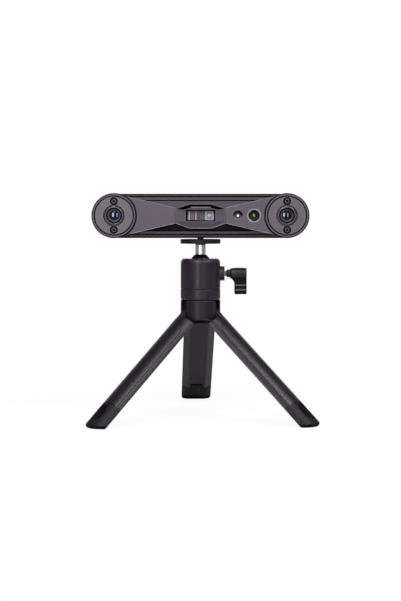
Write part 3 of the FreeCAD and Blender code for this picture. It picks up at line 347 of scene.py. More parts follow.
def soften(piece, width_mm):
    weld = piece.modifiers.new("weld", "WELD")
    weld.merge_threshold = WELD_MM * MM
    flat = piece.modifiers.new("whole_faces", "DECIMATE")
    flat.decimate_type = "DISSOLVE"
    flat.angle_limit = radians(FLAT_DEGREES)
    bevel = piece.modifiers.new("edge", "BEVEL")
    bevel.width = width_mm * MM
    bevel.segments = 2
    bevel.angle_limit = radians(CREASE_DEGREES)
    even = piece.modifiers.new("flat_faces_stay_flat", "WEIGHTED_NORMAL")
    even.weight = LARGE_FACES_ONLY


PLAIN_EDGE_MM = 0.2
EDGE_MM = {"leg_body": 0.35, "leg_grip": 0.35, "foot_cap": 0.35, "foot_sole": 0.5,
           "clamp_knob": 0.4, "hub_body": 0.3, "hub_cap": 0.3, "window_gasket": 0.15}
for name, piece in nodes.items():
    piece.data.polygons.foreach_set("use_smooth", [True] * len(piece.data.polygons))
    widths = [width for end, width in EDGE_MM.items() if name.endswith(end)]
    soften(piece, widths[0] if widths else PLAIN_EDGE_MM)
print(len(nodes), "nodes with soft edges")

# %% [markdown]
# ## Tools for new pieces
# Most small parts of a camera are turned: a circle is added at the first radius, then extruded
# and resized ring by ring along the profile. Square parts start as a cube of their size. Faces are
# picked by where they are or which way they look. At the end the edges are rounded.
# %% Lathe, block, pick, round
# Sides of a turned piece: a small one, a plain one, and a large or very smooth one.
FEW_STEPS, STEPS, MANY_STEPS = 48, 64, 96


def select(piece):
    """Leave this piece as the only selected one, and the active one."""
    bpy.ops.object.select_all(action="DESELECT")
    piece.select_set(True)
    bpy.context.view_layer.objects.active = piece


def settle(piece, spot=(0, 0, 0), lean=(0, 0, 0)):
    """Apply what the piece has, then move it to its place and apply that too."""
    bpy.ops.object.transform_apply()
    piece.location, piece.rotation_euler = spot, lean
    bpy.ops.object.transform_apply()


def lathe(name, profile, spot, lean=(0, 0, 0), steps=STEPS, ring=False):
    """Turn a profile of (radius, height) in millimetres. A ring closes on its own start."""
    bpy.ops.object.select_all(action="DESELECT")
    bpy.ops.mesh.primitive_circle_add(vertices=steps, radius=profile[0][0] * MM,
                                      location=(0, 0, profile[0][1] * MM),
                                      fill_type="NOTHING" if ring else "NGON")
    piece = bpy.context.object
    piece.name = name
    corners = profile + profile[:1] if ring else profile
    bpy.ops.object.mode_set(mode="EDIT")
    bpy.ops.mesh.select_mode(type="VERT")
    bpy.ops.mesh.select_all(action="SELECT")
    for (radius, height), (next_radius, next_height) in zip(corners, corners[1:]):
        bpy.ops.mesh.extrude_region_move(
            TRANSFORM_OT_translate={"value": (0, 0, (next_height - height) * MM)})
        if next_radius:
            grow = next_radius / radius
            bpy.ops.transform.resize(value=(grow, grow, 1), center_override=(0, 0, 0))
        else:
            bpy.ops.mesh.merge(type="CENTER")
    bpy.ops.mesh.select_all(action="SELECT")
    bpy.ops.mesh.remove_doubles(threshold=0.001 * MM)
    bpy.ops.mesh.normals_make_consistent(inside=False)
    bpy.ops.object.mode_set(mode="OBJECT")
    settle(piece, spot, lean)
    return piece


def block(name, low, high):
    """A box between two corners, in metres."""
    bpy.ops.object.select_all(action="DESELECT")
    low, high = Vector(low), Vector(high)
    bpy.ops.mesh.primitive_cube_add(size=1, location=(low + high) / 2, scale=high - low)
    piece = bpy.context.object
    piece.name = name
    settle(piece)
    return piece


def pick(piece, wanted):
    """Select the faces whose middle and normal pass the test, and go on in edit mode."""
    select(piece)
    bpy.ops.object.mode_set(mode="EDIT")
    bpy.ops.mesh.select_mode(type="FACE")
    bpy.ops.mesh.select_all(action="DESELECT")
    bpy.ops.object.mode_set(mode="OBJECT")
    for face in piece.data.polygons:
        face.select = bool(wanted(face.center, face.normal))
    bpy.ops.object.mode_set(mode="EDIT")


def sink(piece, wanted, border_mm, depth_mm):
    """Inset the picked faces and push them in."""
    pick(piece, wanted)
    bpy.ops.mesh.inset(thickness=border_mm * MM, depth=-depth_mm * MM)
    bpy.ops.object.mode_set(mode="OBJECT")


def round_edges(piece, width_mm, segments=2, angle=CREASE_DEGREES):
    """Bevel the sharp edges, smooth the shading, and let the large faces stay flat."""
    select(piece)
    bevel = piece.modifiers.new("edge", "BEVEL")
    bevel.width, bevel.segments = width_mm * MM, segments
    bevel.angle_limit = radians(angle)
    bpy.ops.object.modifier_apply(modifier=bevel.name)
    bpy.ops.object.shade_smooth()
    even = piece.modifiers.new("flat_faces_stay_flat", "WEIGHTED_NORMAL")
    even.weight = LARGE_FACES_ONLY
    bpy.ops.object.modifier_apply(modifier=even.name)


def twin(piece, name, shift):
    """A copy with a mesh of its own, moved along."""
    select(piece)
    bpy.ops.object.duplicate_move(TRANSFORM_OT_translate={"value": shift})
    copy = bpy.context.object
    copy.name = name
    bpy.ops.object.transform_apply()
    return copy


def keep(piece, slot, material, *stands_for, body="scanner", edge_mm=0, segments=2):
    """Round it where asked, set material and body, hide what it stands for; slot is not used."""
    if edge_mm:
        round_edges(piece, edge_mm, segments)
    piece.data.materials.clear()
    piece.data.materials.append(material)
    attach(piece, body)
    if stands_for:
        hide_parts(*stands_for)


TO_THE_FRONT = (radians(90), 0, 0)
TO_THE_BACK = (radians(-90), 0, 0)
TO_THE_RIGHT = (0, radians(90), 0)

# %% [markdown]
# ## The scanner's shell
# Each cover is one moulding with two textures, and each ends at an edge. Black painted shade lies
# in the grooves, on the top lip and along the bottom edge; on the front one also under the wings
# and on the funnel roof. The funnel's lower wall is drawn darker as painted shade, and the lower
# wing chamfers lighter as a painted highlight. So the CAD mesh is copied, welded and dissolved
# into whole faces, those with a hole in them are split, and every crease is rounded, also the
# shallow ones of the funnel. Then the faces are picked by place: the coarse texture on the wings,
# the window frame and the back, the fine one on the ribs and the plane that they stand on. The two
# ends are done the same way, with black painted shade on the chamfer, in the groove round each
# disc and in the counterbores of its screws.
# %% Copies with more than one finish
# The camera axes lie this far left and right of the middle, and the screws of their discs this far
# above and below it, in millimetres.
EYE_OUT, SCREW_UP = 73, 12.1


def fine_copy(node, name, width_mm, angle=CREASE_DEGREES, slot="shell_plastic",
              material=shell_abs, body="scanner"):
    """A merged copy of a CAD node that stands for it, with its creases rounded."""
    copy = bpy.data.objects.new(name, nodes[node].data.copy())
    bpy.context.scene.collection.objects.link(copy)
    pick(copy, lambda spot, way: True)
    bpy.ops.mesh.remove_doubles(threshold=WELD_MM * MM)
    bpy.ops.mesh.dissolve_limited(angle_limit=radians(FLAT_DEGREES))
    bpy.ops.mesh.vert_connect_concave()
    bpy.ops.object.mode_set(mode="OBJECT")
    round_edges(copy, width_mm, angle=angle)
    keep(copy, slot, material, node, body=body)
    return copy


def repaint(piece, material, wanted):
    """Give the faces that pass the test another material. The test gets millimetres from the
    scanner's middle, right, towards either face and up, and the face's normal."""
    piece.data.materials.append(material)
    number = len(piece.data.materials) - 1
    for face in piece.data.polygons:
        spot = (face.center - Vector((head.x, tripod.y, head.z))) / MM
        if wanted(spot.x, abs(spot.y), spot.z, face.normal):
            face.material_index = number


def on_the_base_plane(x, depth, z, way):
    return 14.9 < depth < 15.1 and abs(way.y) > 0.99


# Black painted shadow on the plane just below the wings.
def painted_wing_shadow(x, depth, z, way):
    return z < -6 and on_the_base_plane(x, depth, z, way)


def on_the_ribs(x, depth, z, way):
    return abs(z) > 10.5 and depth < 15.2 or on_the_base_plane(x, depth, z, way)


# Black painted shade in the grooves, on the top lip and along the bottom edge.
def painted_shade_on_a_cover(x, depth, z, way):
    outer_groove = 15.4 < abs(z) < 16.5 and 9.9 < depth < 13.4
    inner_groove = 12.3 < abs(z) < 13.3 and 11.9 < depth < 14.9
    top_lip = 16.7 < z < 18.4 and 11.4 < depth < 11.6 and abs(way.y) > 0.9
    bottom_edge = z < -17.7 and 11.3 < depth < 11.6
    return outer_groove or inner_groove or top_lip or bottom_edge


# The funnel roof is drawn black as painted shadow.
def funnel_roof(x, depth, z, way):
    return abs(x) < 20.4 and 12.7 < depth < 16.1 and 5.0 < z < 9.4 and way.z < -0.25


# The funnel floor and the frame's lower strip are drawn darker as painted shade.
def below_the_window(x, depth, z, way):
    funnel_floor = abs(x) < 20.4 and 12.7 < depth < 16.1 and -9.8 < z < -4.4 and way.z > 0.25
    return funnel_floor or abs(x) < 18 and 16.1 < depth < 16.3 and z < -8 and way.y < -0.9


# The lower wing chamfers are drawn lighter, as a painted highlight.
def lower_wing_edge(x, depth, z, way):
    return abs(x) > 20.5 and 16.9 < depth < 17.5 and 0.5 < -way.y < 0.9 and way.z < -0.3


# Black painted shade on the end's chamfer and in the groove round its disc.
def painted_shade_on_an_end(x, depth, z, way):
    chamfer = 16.9 < depth < 17.9 and 0.6 < -way.y < 0.8
    return chamfer or 16.1 < depth < 17.9 and hypot(abs(x) - EYE_OUT, z) < 17


def from_a_screw(x, z):
    return hypot(abs(x) - EYE_OUT, abs(z) - SCREW_UP)


# Black painted shade in the counterbores and round the disc's edge.
def painted_shade_on_a_disc(x, depth, z, way):
    counterbore = 16.7 < depth < 17.93 and from_a_screw(x, z) < 3.5
    return counterbore or hypot(abs(x) - EYE_OUT, z) > 15.9


for side, name in (("front", "two_texture_front_cover"), ("rear", "two_texture_rear_cover")):
    cover = fine_copy(f"{side}_cover", name, 0.16, 14)
    repaint(cover, rib_abs, on_the_ribs)
    repaint(cover, painted_shade_black, painted_shade_on_a_cover)
    if side == "front":
        repaint(cover, painted_shade_black, painted_wing_shadow)
        repaint(cover, painted_shadow_black, funnel_roof)
        repaint(cover, painted_shade_abs, below_the_window)
        repaint(cover, painted_highlight_abs, lower_wing_edge)
    print(name, len(cover.data.polygons), "faces")
for side in ("left", "right"):
    shell = fine_copy(f"{side}_end_shell", f"{side}_end_with_black_chamfer", 0.16)
    repaint(shell, painted_shade_black, painted_shade_on_an_end)
    disc = fine_copy(f"{side}_face_disc", f"{side}_disc_with_black_counterbores", 0.12,
                     slot="disc_plastic", material=disc_abs)
    repaint(disc, painted_shade_black, painted_shade_on_a_disc)

# %% [markdown]
# ## The camera ends
# A camera looks out through a hood with a sloped lip. It is stepped inside, because each step
# throws stray light back out. Behind it sits the grey barrel of the lens with its thread, and in
# that the domed front glass. One end is turned on the lathe, and its parts are copied across.
# %% Hood, barrel and lens


def dome(radius, rim, bulge, rings=7):
    """Points of a round cap, from its edge to its middle."""
    steps = [radius * cos(radians(90 * step / rings)) for step in range(rings)]
    crown = rim + bulge - sqrt(bulge * bulge - radius * radius)
    heights = [crown - bulge + sqrt(bulge * bulge - step * step) for step in steps]
    return list(zip(steps, heights)) + [(0, crown)]


hood = lathe("left_stepped_lens_hood", [
    (6.6, 13.0), (9.8, 13.0), (9.8, 16.1), (9.2, 16.15), (9.05, 16.3), (7.3, 17.45), (7.1, 17.5),
    (6.9, 17.45), (6.75, 17.3), (6.7, 17.1), (6.7, 15.6), (6.6, 15.6), (6.6, 14.6)],
    left_eye, TO_THE_FRONT, ring=True)
barrel = lathe("left_lens_barrel", [
    (3.2, -4), (5.7, -4), (5.7, 15.2), (5.4, 15.6), (4.7, 15.6), (4.5, 15.2), (4.3, 15.2),
    (4.15, 14.7), (4.0, 14.7), (4.0, 13.0), (3.2, 13.0)], left_eye, TO_THE_FRONT, ring=True)
glass = lathe("left_front_glass", [(4.0, 13.0)] + dome(4.0, 13.8, 11.0), left_eye, TO_THE_FRONT)
across = right_eye - left_eye
for part, width, slot, material, node in (
        (hood, 0.05, "disc_plastic", hood_black, "lens_hood"),
        (barrel, 0.08, "barrel_black", lens_barrel, None),
        (glass, 0.05, "lens_glass", lens_glass, "camera_lens")):
    round_edges(part, width)
    copy = twin(part, part.name.replace("left", "right"), across)
    for side, piece in (("left", part), ("right", copy)):
        keep(piece, slot, material, f"{side}_{node}" if node else "camera_barrels")
print("camera ends:", hood.name, barrel.name, glass.name, "and their twins")

# %% [markdown]
# ## Small screws
# Each face disc is held by two socket head screws in counterbores, and the back cover by four.
# The head has a thin flange and is turned. Its hexagon is cut with a six-sided cylinder and a
# Boolean, as a broach would.
# %% Socket head screws


def hex_screw(name, head_mm, high_mm, spot, lean):
    screw = lathe(name, [(1.25, -6), (1.25, 0), (head_mm, 0), (head_mm, 0.3), (0.8 * head_mm, 0.4),
                         (0.8 * head_mm, high_mm - 0.2), (0.8 * head_mm - 0.2, high_mm),
                         (0.62 * head_mm, high_mm)], (0, 0, 0), steps=FEW_STEPS)
    bpy.ops.object.select_all(action="DESELECT")
    bpy.ops.mesh.primitive_cylinder_add(vertices=6, radius=0.45 * head_mm * MM, depth=1.6 * MM,
                                        location=(0, 0, high_mm * MM))
    broach = bpy.context.object
    socket = screw.modifiers.new("socket", "BOOLEAN")
    socket.object = broach
    select(screw)
    bpy.ops.object.modifier_apply(modifier=socket.name)
    bpy.data.objects.remove(broach)
    round_edges(screw, 0.07)
    settle(screw, spot, lean)
    return screw


def in_the_shade(x, depth, z, way):
    """The flange, and the inside of the socket."""
    off = from_a_screw(x, z)
    return off > 2.04 or off < 1.3 and depth < 17.85


down = Vector((0, 0, -2 * SCREW_UP)) * MM
disc_screw = hex_screw("disc_screw_left_upper", 2.6, 1.1,
                       left_eye + Vector((0, -16.8, SCREW_UP)) * MM, TO_THE_FRONT)
disc_screws = [disc_screw] + [
    twin(disc_screw, f"disc_screw_{place}", shift)
    for place, shift in (("left_lower", down), ("right_upper", across),
                         ("right_lower", across + down))]
for screw in disc_screws:
    keep(screw, "screw_steel", grey_steel, "face_disc_screws")
    repaint(screw, painted_shade_black, in_the_shade)

cover_screw = hex_screw("cover_screw_0", 2.3, 1.8, head + Vector((-50, 10, -12.2)) * MM,
                        TO_THE_BACK)
cover_screws = [cover_screw] + [
    twin(cover_screw, f"cover_screw_{number}", Vector(shift) * MM)
    for number, shift in enumerate(((100, 0, 0), (0, 0, 24.4), (100, 0, 24.4)), start=1)]
for screw in cover_screws:
    keep(screw, "screw_steel", black_oxide, "cover_screws")
print(len(disc_screws), "disc screws and", len(cover_screws), "cover screws")

# %% [markdown]
# ## Flash lamp and colour camera
# The flash lamp is a white LED that glows faintly, in a dark cup. The upper half of its bezel is
# drawn black as painted shadow from the light above. The colour camera has a turned silver ring,
# a stepped black cone, and a small olive lens: its coating throws back green instead of blue.
# %% Lamp and colour camera
cup = lathe("lamp_cup", [
    (0.95, 12), (2.4, 12), (2.4, 16.1), (2.2, 16.3), (1.9, 16.3), (1.6, 15.2), (0.95, 15.2)],
    lamp_spot, TO_THE_FRONT, FEW_STEPS, ring=True)
keep(cup, "led_white", lens_barrel, "flash_led", edge_mm=0.05)
led = lathe("lamp_dome", [(0.9, 14.5), (0.9, 15.5)] + dome(0.9, 15.6, 1.05), lamp_spot,
            TO_THE_FRONT, FEW_STEPS)
keep(led, "led_white", lit_phosphor, "flash_led", edge_mm=0.03)

bezel = lathe("lamp_bezel", [
    (2.45, 16.42), (3.75, 16.42), (3.75, 17.45), (4.2, 17.45), (4.2, 17.6), (4.1, 17.7),
    (3.7, 17.5), (2.6, 16.5)], lamp_spot, TO_THE_FRONT, FEW_STEPS, ring=True)
keep(bezel, "led_white", shell_abs, edge_mm=0.03)
# The bezel's upper half is drawn black as painted shadow.
repaint(bezel, painted_shade_black, lambda x, depth, z, way: z > 0)

ring = lathe("colour_camera_silver_ring", [
    (4.5, 14), (6.0, 14), (6.0, 17.5), (5.85, 17.6), (5.0, 17.6), (4.75, 17.4), (4.5, 17.0)],
    colour_spot, TO_THE_FRONT, ring=True)
keep(ring, "ring_silver", silver_ring, "colour_camera_ring", edge_mm=0.06)
cone = lathe("colour_camera_cone", [
    (2.2, 10), (4.5, 10), (4.5, 16.9), (4.3, 16.9), (3.5, 16.1), (3.2, 16.1), (3.05, 15.9),
    (2.6, 15.9), (2.2, 15.4)], colour_spot, TO_THE_FRONT, FEW_STEPS, ring=True)
keep(cone, "barrel_black", matt_barrel, "colour_camera_lens", edge_mm=0.05)
small_glass = lathe("colour_camera_glass", [(2.2, 13)] + dome(2.2, 15.0, 4.0), colour_spot,
                    TO_THE_FRONT, FEW_STEPS)
keep(small_glass, "barrel_black", olive_glass, "colour_camera_lens", edge_mm=0.03)
inner_glass = lathe("colour_camera_inner_glass", [(1.1, 15.0)] + dome(1.1, 15.55, 2.4),
                    colour_spot, TO_THE_FRONT, FEW_STEPS)
keep(inner_glass, "barrel_black", yellow_glass, "colour_camera_lens", edge_mm=0.03)
print("lamp at", round(lamp_spot.x, 4), "colour camera at", round(colour_spot.x, 4))

# %% [markdown]
# ## Polished beads
# Fine raised beads run along the edges of the wings, the window frame, the waist on both sides of
# it and the top rib, and a wide one makes the brow above the window. They hide the joints of the
# mould's inserts. All but the one on the top rib are drawn lighter than the shell as a painted
# highlight, so each draws a thin light line. Each is a bar of its length, rounded, turned to its
# slope and set on the edge.
# %% Beads


def at_head(x, y, z):
    """A point from the middle of the scanner: right, forwards and up, in millimetres."""
    return Vector((head.x + x * MM, tripod.y - y * MM, head.z + z * MM))


# A bead is drawn lighter than the shell by default, as a painted highlight.
def bead(name, start, finish, front_mm, wide_mm=0.45, material=painted_highlight_abs):
    """A bar between two points (right, up) on the face that lies this far forward."""
    (x, z), (next_x, next_z) = start, finish
    half = 0.5 * hypot(next_x - x, next_z - z) * MM
    bar = block(name, (-half, 0, -0.5 * wide_mm * MM), (half, 0.4 * MM, 0.5 * wide_mm * MM))
    round_edges(bar, 0.12)
    settle(bar, at_head(0.5 * (x + next_x), front_mm, 0.5 * (z + next_z)),
           (0, -atan2(next_z - z, next_x - x), 0))
    keep(bar, "shell_plastic", material)


beads = (
    ("frame_bead_left", (-20.6, -6.6), (-8.8, -10.65), 16.4),
    ("frame_bead_middle", (-8.8, -10.65), (8.8, -10.65), 16.4),
    ("frame_bead_right", (8.8, -10.65), (20.6, -6.6), 16.4),
    ("wing_bead_left", (-58, -15.05), (-21.3, -6.5), 17.45, 0.4),
    ("wing_bead_right", (21.3, -6.5), (58, -15.05), 17.45, 0.4),
    ("top_rib_bead", (-63.5, 16.95), (63.5, 16.95), 11.75, 0.6, rib_abs),
    ("wing_top_bead_left", (-58, 15.05), (-21.3, 6.5), 17.45, 0.25),
    ("wing_top_bead_right", (21.3, 6.5), (58, 15.05), 17.45, 0.25),
    ("waist_bead_left", (-20.9, -6.2), (-20.9, 6.2), 16.5, 0.25),
    ("waist_bead_right", (20.9, -6.2), (20.9, 6.2), 16.5, 0.25),
    ("window_brow_bead", (-8.4, 6.95), (8.4, 6.95), 13.3, 1.3))
for row in beads:
    bead(*row)
print(len(beads), "beads")

# %% [markdown]
# ## Behind the window
# Two light sources share the window: on the left the line laser, a red filter between two white
# diffuser bars, and on the right the pattern projector, a square lens in a pale frame with a small
# round one in its middle. A finned block of cast aluminium between them carries their heat away.
# The frames are sunk by an inset, and the fins stand at an even step.
# %% Laser, fins and projector
FINS, FIN_STEP, FIN_WIDE = 6, 1.02, 0.55
LASER, PROJECTOR = "line_laser_module", "pattern_projector_module"


def window_block(name, low, high, material, node, edge_mm, sunk=None, segments=2):
    """A block between two points, its front sunk inside a border where that is asked."""
    piece = block(name, at_head(*low), at_head(*high))
    if sunk:
        sink(piece, lambda spot, way: way.y < -0.9, *sunk)
    keep(piece, "module_plastic", material, node, edge_mm=edge_mm, segments=segments)


window_block("laser_housing", (-11.3, -5.6, -3.9), (-2.7, 9.4, 3.9), module_pbt, LASER, 0.15,
             sunk=(0.8, 0.6))
window_block("laser_filter", (-8.7, 9.0, -3.6), (-5.1, 9.9, 3.6), red_filter, LASER, 0.12)
for side, left in (("left", -10.3), ("right", -4.55)):
    window_block(f"diffuser_bar_{side}", (left, 8.8, -3.8), (left + 1.3, 10.4, 3.8), diffuser,
                 LASER, 0.3, segments=3)
window_block("fin_base", (-2.6, -5.6, -3.9), (3.5, 8.2, 3.9), fin_metal, PROJECTOR, 0.1)
for number in range(FINS):
    start = -2.5 + FIN_STEP * number
    window_block(f"fin_{number}", (start, 8.1, -3.9), (start + FIN_WIDE, 9.8, 3.9), fin_metal,
                 PROJECTOR, 0.12)
window_block("projector_frame", (3.6, -5.6, -3.9), (11.4, 9.6, 3.9), diffuser, PROJECTOR, 0.15,
             sunk=(1.5, 0.7))
window_block("projector_lens", (5.3, 8.6, -2.9), (9.7, 9.7, 2.9), lilac_glass, PROJECTOR, 0.2,
             sunk=(0.9, 0.25), segments=3)
eye = lathe("projector_eye", [(1.5, 9.0), (1.5, 9.7)] + dome(1.5, 9.7, 3.0),
            at_head(7.5, 0, 0), TO_THE_FRONT, FEW_STEPS)
keep(eye, "module_plastic", pale_glass, PROJECTOR, edge_mm=0.03)

# %% [markdown]
# ## Buttons on the back
# Three round buttons sit in the back cover. Each is turned with a shallow dish for the finger. The
# outer two carry a raised bar or a cross to tell them apart by touch.
# %% Dished buttons
# The dish: shares of the radius, and depths in millimetres.
DISH = ((0.78, -0.02), (0.6, -0.14), (0.4, -0.22), (0.2, -0.26))


def button(name, node, body, radius):
    low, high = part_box(node)
    spot = Vector(((low.x + high.x) / 2, high.y, (low.z + high.z) / 2))
    dish = [(radius * share, depth) for share, depth in DISH]
    cap = lathe(name, [(radius + 0.9, -2.9), (radius + 0.9, -2.1), (radius, -2.1), (radius, -0.25),
                       (radius - 0.25, 0)] + dish + [(0, -0.27)], spot, TO_THE_BACK)
    round_edges(cap, 0.1)
    keep(cap, "button_plastic", button_abs, node, body=body)
    return spot


button("scan_button_cap", "scan_button", "scan_key", 4.5)
plus_spot = button("brighter_button_cap", "brighter_button", "brighter_key", 3.2)
minus_spot = button("dimmer_button_cap", "dimmer_button", "dimmer_key", 3.2)
for name, spot, body, turn in (("brighter_bar", plus_spot, "brighter_key", 0),
                               ("brighter_upright", plus_spot, "brighter_key", 90),
                               ("dimmer_bar", minus_spot, "dimmer_key", 0)):
    mark = block(name, (-1.1 * MM, -0.3 * MM, -0.22 * MM), (1.1 * MM, -0.02 * MM, 0.22 * MM))
    round_edges(mark, 0.08)
    settle(mark, spot, (0, radians(turn), 0))
    keep(mark, "button_plastic", diffuser, body=body)
print("three dished buttons")

# %% [markdown]
# ## Ball, stem and plate
# The ball and its stem are one turned part. The ball is ground and plated black, and the stem is
# masked and plated bright. A thin black band on the stem under the plate is a painted reflection
# of the plate's dark underside. The plate is painted aluminium, drawn darker than the housing as
# painted shade under the scanner, with a rubber pad on top that grips the scanner. A thread is
# drawn as plain rings, as its slope is too small to see. The 1/4 inch screw has 20 to the inch.
# %% Stem, collar, plate, pad and screws
# Height above the floor and radii, in millimetres. The ball ends low in its seat.
BALL_Z, BALL_R, STEM_R = 131.1, 9.0, 4.45
LOWEST, RINGS = radians(-70), 30
neck = acos(STEM_R / BALL_R)
angles = [LOWEST + (neck - LOWEST) * step / RINGS for step in range(RINGS + 1)]
ball_side = [(BALL_R * cos(angle), BALL_Z + BALL_R * sin(angle)) for angle in angles]
ball = lathe("black_plated_ball", ball_side, axis_foot, steps=MANY_STEPS)
keep(ball, "chrome_steel", ball_black, "ball_stem", body="ball", edge_mm=0.1)
stem_foot = BALL_Z + BALL_R * sin(neck) - 0.3
stem = lathe("bright_stem", [(STEM_R, stem_foot), (STEM_R, 147.2), (3.0, 147.2), (3.0, 149.4)],
             axis_foot, steps=MANY_STEPS)
keep(stem, "chrome_steel", chrome, "ball_stem", body="ball", edge_mm=0.1)
# A black band on the stem, a painted reflection of the plate's dark underside.
painted_reflection_band = lathe("stem_band_of_painted_reflection", [(3.0, 146.9), (4.3, 146.9), (4.45, 147.05), (4.45, 147.85),
                             (4.3, 148.0), (3.0, 148.0)], axis_foot, ring=True)
keep(painted_reflection_band, "chrome_steel", ball_black, "ball_stem", body="ball", edge_mm=0.08)

plate = lathe("mount_plate_disc", [
    (3.06, 149.5), (3.06, 148.1), (17.0, 148.1), (17.2, 148.3), (17.2, 151.4), (17.0, 151.6),
    (3.2, 151.6), (3.2, 149.5)], axis_foot, steps=MANY_STEPS, ring=True)
keep(plate, "head_black", plate_black_with_painted_shade, "mount_plate", edge_mm=0.12)
pad = lathe("mount_plate_pad", [(3.6, 151.5), (16.9, 151.5), (16.9, 151.8), (16.8, 151.9),
                                (3.8, 151.9)], axis_foot, steps=MANY_STEPS, ring=True)
keep(pad, "head_black", black_rubber, "mount_plate", edge_mm=0.08)


def thread(radius, pitch, start, end):
    """The zigzag profile of a thread, drawn as rings."""
    points, height = [], start
    while height + pitch < end:
        points += [(radius, height + 0.1 * pitch), (radius - 0.6 * pitch, height + 0.5 * pitch)]
        height += pitch
    return points


quarter_screw = lathe("quarter_inch_screw", [(3.17, 150.3)] + thread(3.17, 1.27, 150.4, 160.4) + [
    (2.5, 161.2), (2.4, 161.4)], axis_foot)
keep(quarter_screw, "bare_steel", bright_steel, "mount_screw", edge_mm=0.05)
clamp_start = Vector((tripod.x, tripod.y, clamp.z))
clamp_bolt = lathe("clamp_bolt", [(2.5, 12.4)] + thread(2.5, 0.8, 12.6, 31.4) + [(2.0, 32)],
                   clamp_start, TO_THE_RIGHT, FEW_STEPS)
keep(clamp_bolt, "bare_steel", bright_steel, "clamp_screw", body="clamp_handle", edge_mm=0.04)
print("stem", STEM_R, "mm, plate and pad, two threaded screws")

# %% [markdown]
# ## Clamp knob
# The wing of the knob is drawn near black as painted shade, and the two ribs across it are drawn
# smoother and lighter, the light colour a painted highlight. The knob is copied from the frame,
# and its wing and ribs are picked by how far below the clamp screw they lie.
# %% Knob with polished ribs
# Millimetres below the clamp screw, and out from the middle of the wing.
RIB_PLACES, RIB_REACH, RIB_FACE = (10, 14), 0.8, 2.45
WING_TOP, WING_FACE = 5, 2.2
PAINTED_SHADE_FACE, PAINTED_HIGHLIGHT_FACE = 1, 2
knob = fine_copy("clamp_knob", "knob_with_painted_highlights", 0.3, slot="knob_plastic",
                 material=black_nylon, body="clamp_handle")
# The wing is drawn near black as painted shade, the ribs lighter as a painted highlight.
for material in (painted_shade_nylon, painted_highlight_nylon):
    knob.data.materials.append(material)
for face in knob.data.polygons:
    below = (clamp.z - face.center.z) / MM
    out = abs(face.center.y - clamp.y) / MM
    if out > RIB_FACE and any(abs(below - place) < RIB_REACH for place in RIB_PLACES):
        face.material_index = PAINTED_HIGHLIGHT_FACE
    elif out > WING_FACE and below > WING_TOP:
        face.material_index = PAINTED_SHADE_FACE
print("faces with painted highlight", sum(face.material_index == PAINTED_HIGHLIGHT_FACE for face in knob.data.polygons))

# %% [markdown]
# ## Inner side of the legs
# The flat inner side of each leg is closed by a panel with a sunk field. Below it the latch recess
# has a row of thin ribs for the nail. The three legs are one design, so each piece is modelled
# once on the closed leg, where X points outwards, and copied through the leg's own frame: out to
# the pin, and swung open about it.
# %% Panels and ribs
joint_of = {joint["name"]: joint for joint in frame["record"]["behaviour"]["joints"]}


def leg_frame(side):
    joint = joint_of[f"{side}_leg_fold"]
    pin, axis = Vector(joint["pos_m"]), Vector(joint["axis"])
    azimuth = atan2(-axis.x, axis.y)
    pivot_reach = (pin - Vector((tripod.x, tripod.y, pin.z))).length
    swing = Matrix.Rotation(-radians(joint["range_deg"][1]), 4, "Y")
    return (Matrix.Translation(pin) @ Matrix.Rotation(azimuth, 4, "Z") @ swing
            @ Matrix.Translation((-pivot_reach, 0, 0)))


panel = block("leg_panel", Vector((5.0, -6.6, -89.5)) * MM, Vector((6.5, 6.6, -13.5)) * MM)
sink(panel, lambda spot, way: way.x < -0.9, 1.4, 0.35)
round_edges(panel, 0.25)
rib = block("latch_rib_0", Vector((5.05, -5.6, -102.3)) * MM, Vector((5.7, 5.6, -101.7)) * MM)
round_edges(rib, 0.15)
ribs = [rib] + [twin(rib, f"latch_rib_{number}", (0, 0, -1.15 * number * MM)) for number in (1, 2)]
for side in ("left", "right", "rear"):
    place = leg_frame(side)
    for piece in [panel] + ribs:
        made = twin(piece, f"{side}_{piece.name}", (0, 0, 0))
        made.data.transform(place)
        stands_for = [f"{side}_leg_inner_panel"] if piece == panel else []
        keep(made, "tripod_nylon", black_nylon, *stands_for, body=f"{side}_leg")
for piece in [panel] + ribs:
    bpy.data.objects.remove(piece)
print("three panels with three ribs each")

# %% [markdown]
# ## Scooped feet
# Each foot cap has a long scoop on its outside, where a thumb pulls the leg open. The scoop is
# drawn near black as painted shade, and the cap a little darker than the leg, also as painted
# shade. The cap is copied from the frame, and the faces of the scoop are picked on the closed leg
# by the egg shape of the mould's core for it.
# %% Feet with a matt scoop
# The core's middle and half lengths on the closed leg: outwards, across and up, in millimetres.
CORE, CORE_HALF, CORE_SLACK = (16.3, 0, -114.9), (4, 7.2, 9.2), 1.06
FOOT_RADIUS = 15.9


def scooped_foot(side):
    cap = fine_copy(f"{side}_foot_cap", f"{side}_foot_with_matt_scoop", 0.3,
                    slot="tripod_nylon", material=shaded_foot_nylon, body=f"{side}_leg")
    # The scoop is drawn near black as painted shade.
    cap.data.materials.append(painted_shade_nylon)
    closed = leg_frame(side).inverted()
    for face in cap.data.polygons:
        spot = (closed @ face.center) / MM
        off = sum(((at - centre) / half) ** 2 for at, centre, half in zip(spot, CORE, CORE_HALF))
        if off < CORE_SLACK and hypot(spot.x, spot.y) < FOOT_RADIUS:
            face.material_index = PAINTED_SHADE_FACE
    print(side, "scoop faces", sum(face.material_index == PAINTED_SHADE_FACE for face in cap.data.polygons))


for side in ("left", "right", "rear"):
    scooped_foot(side)

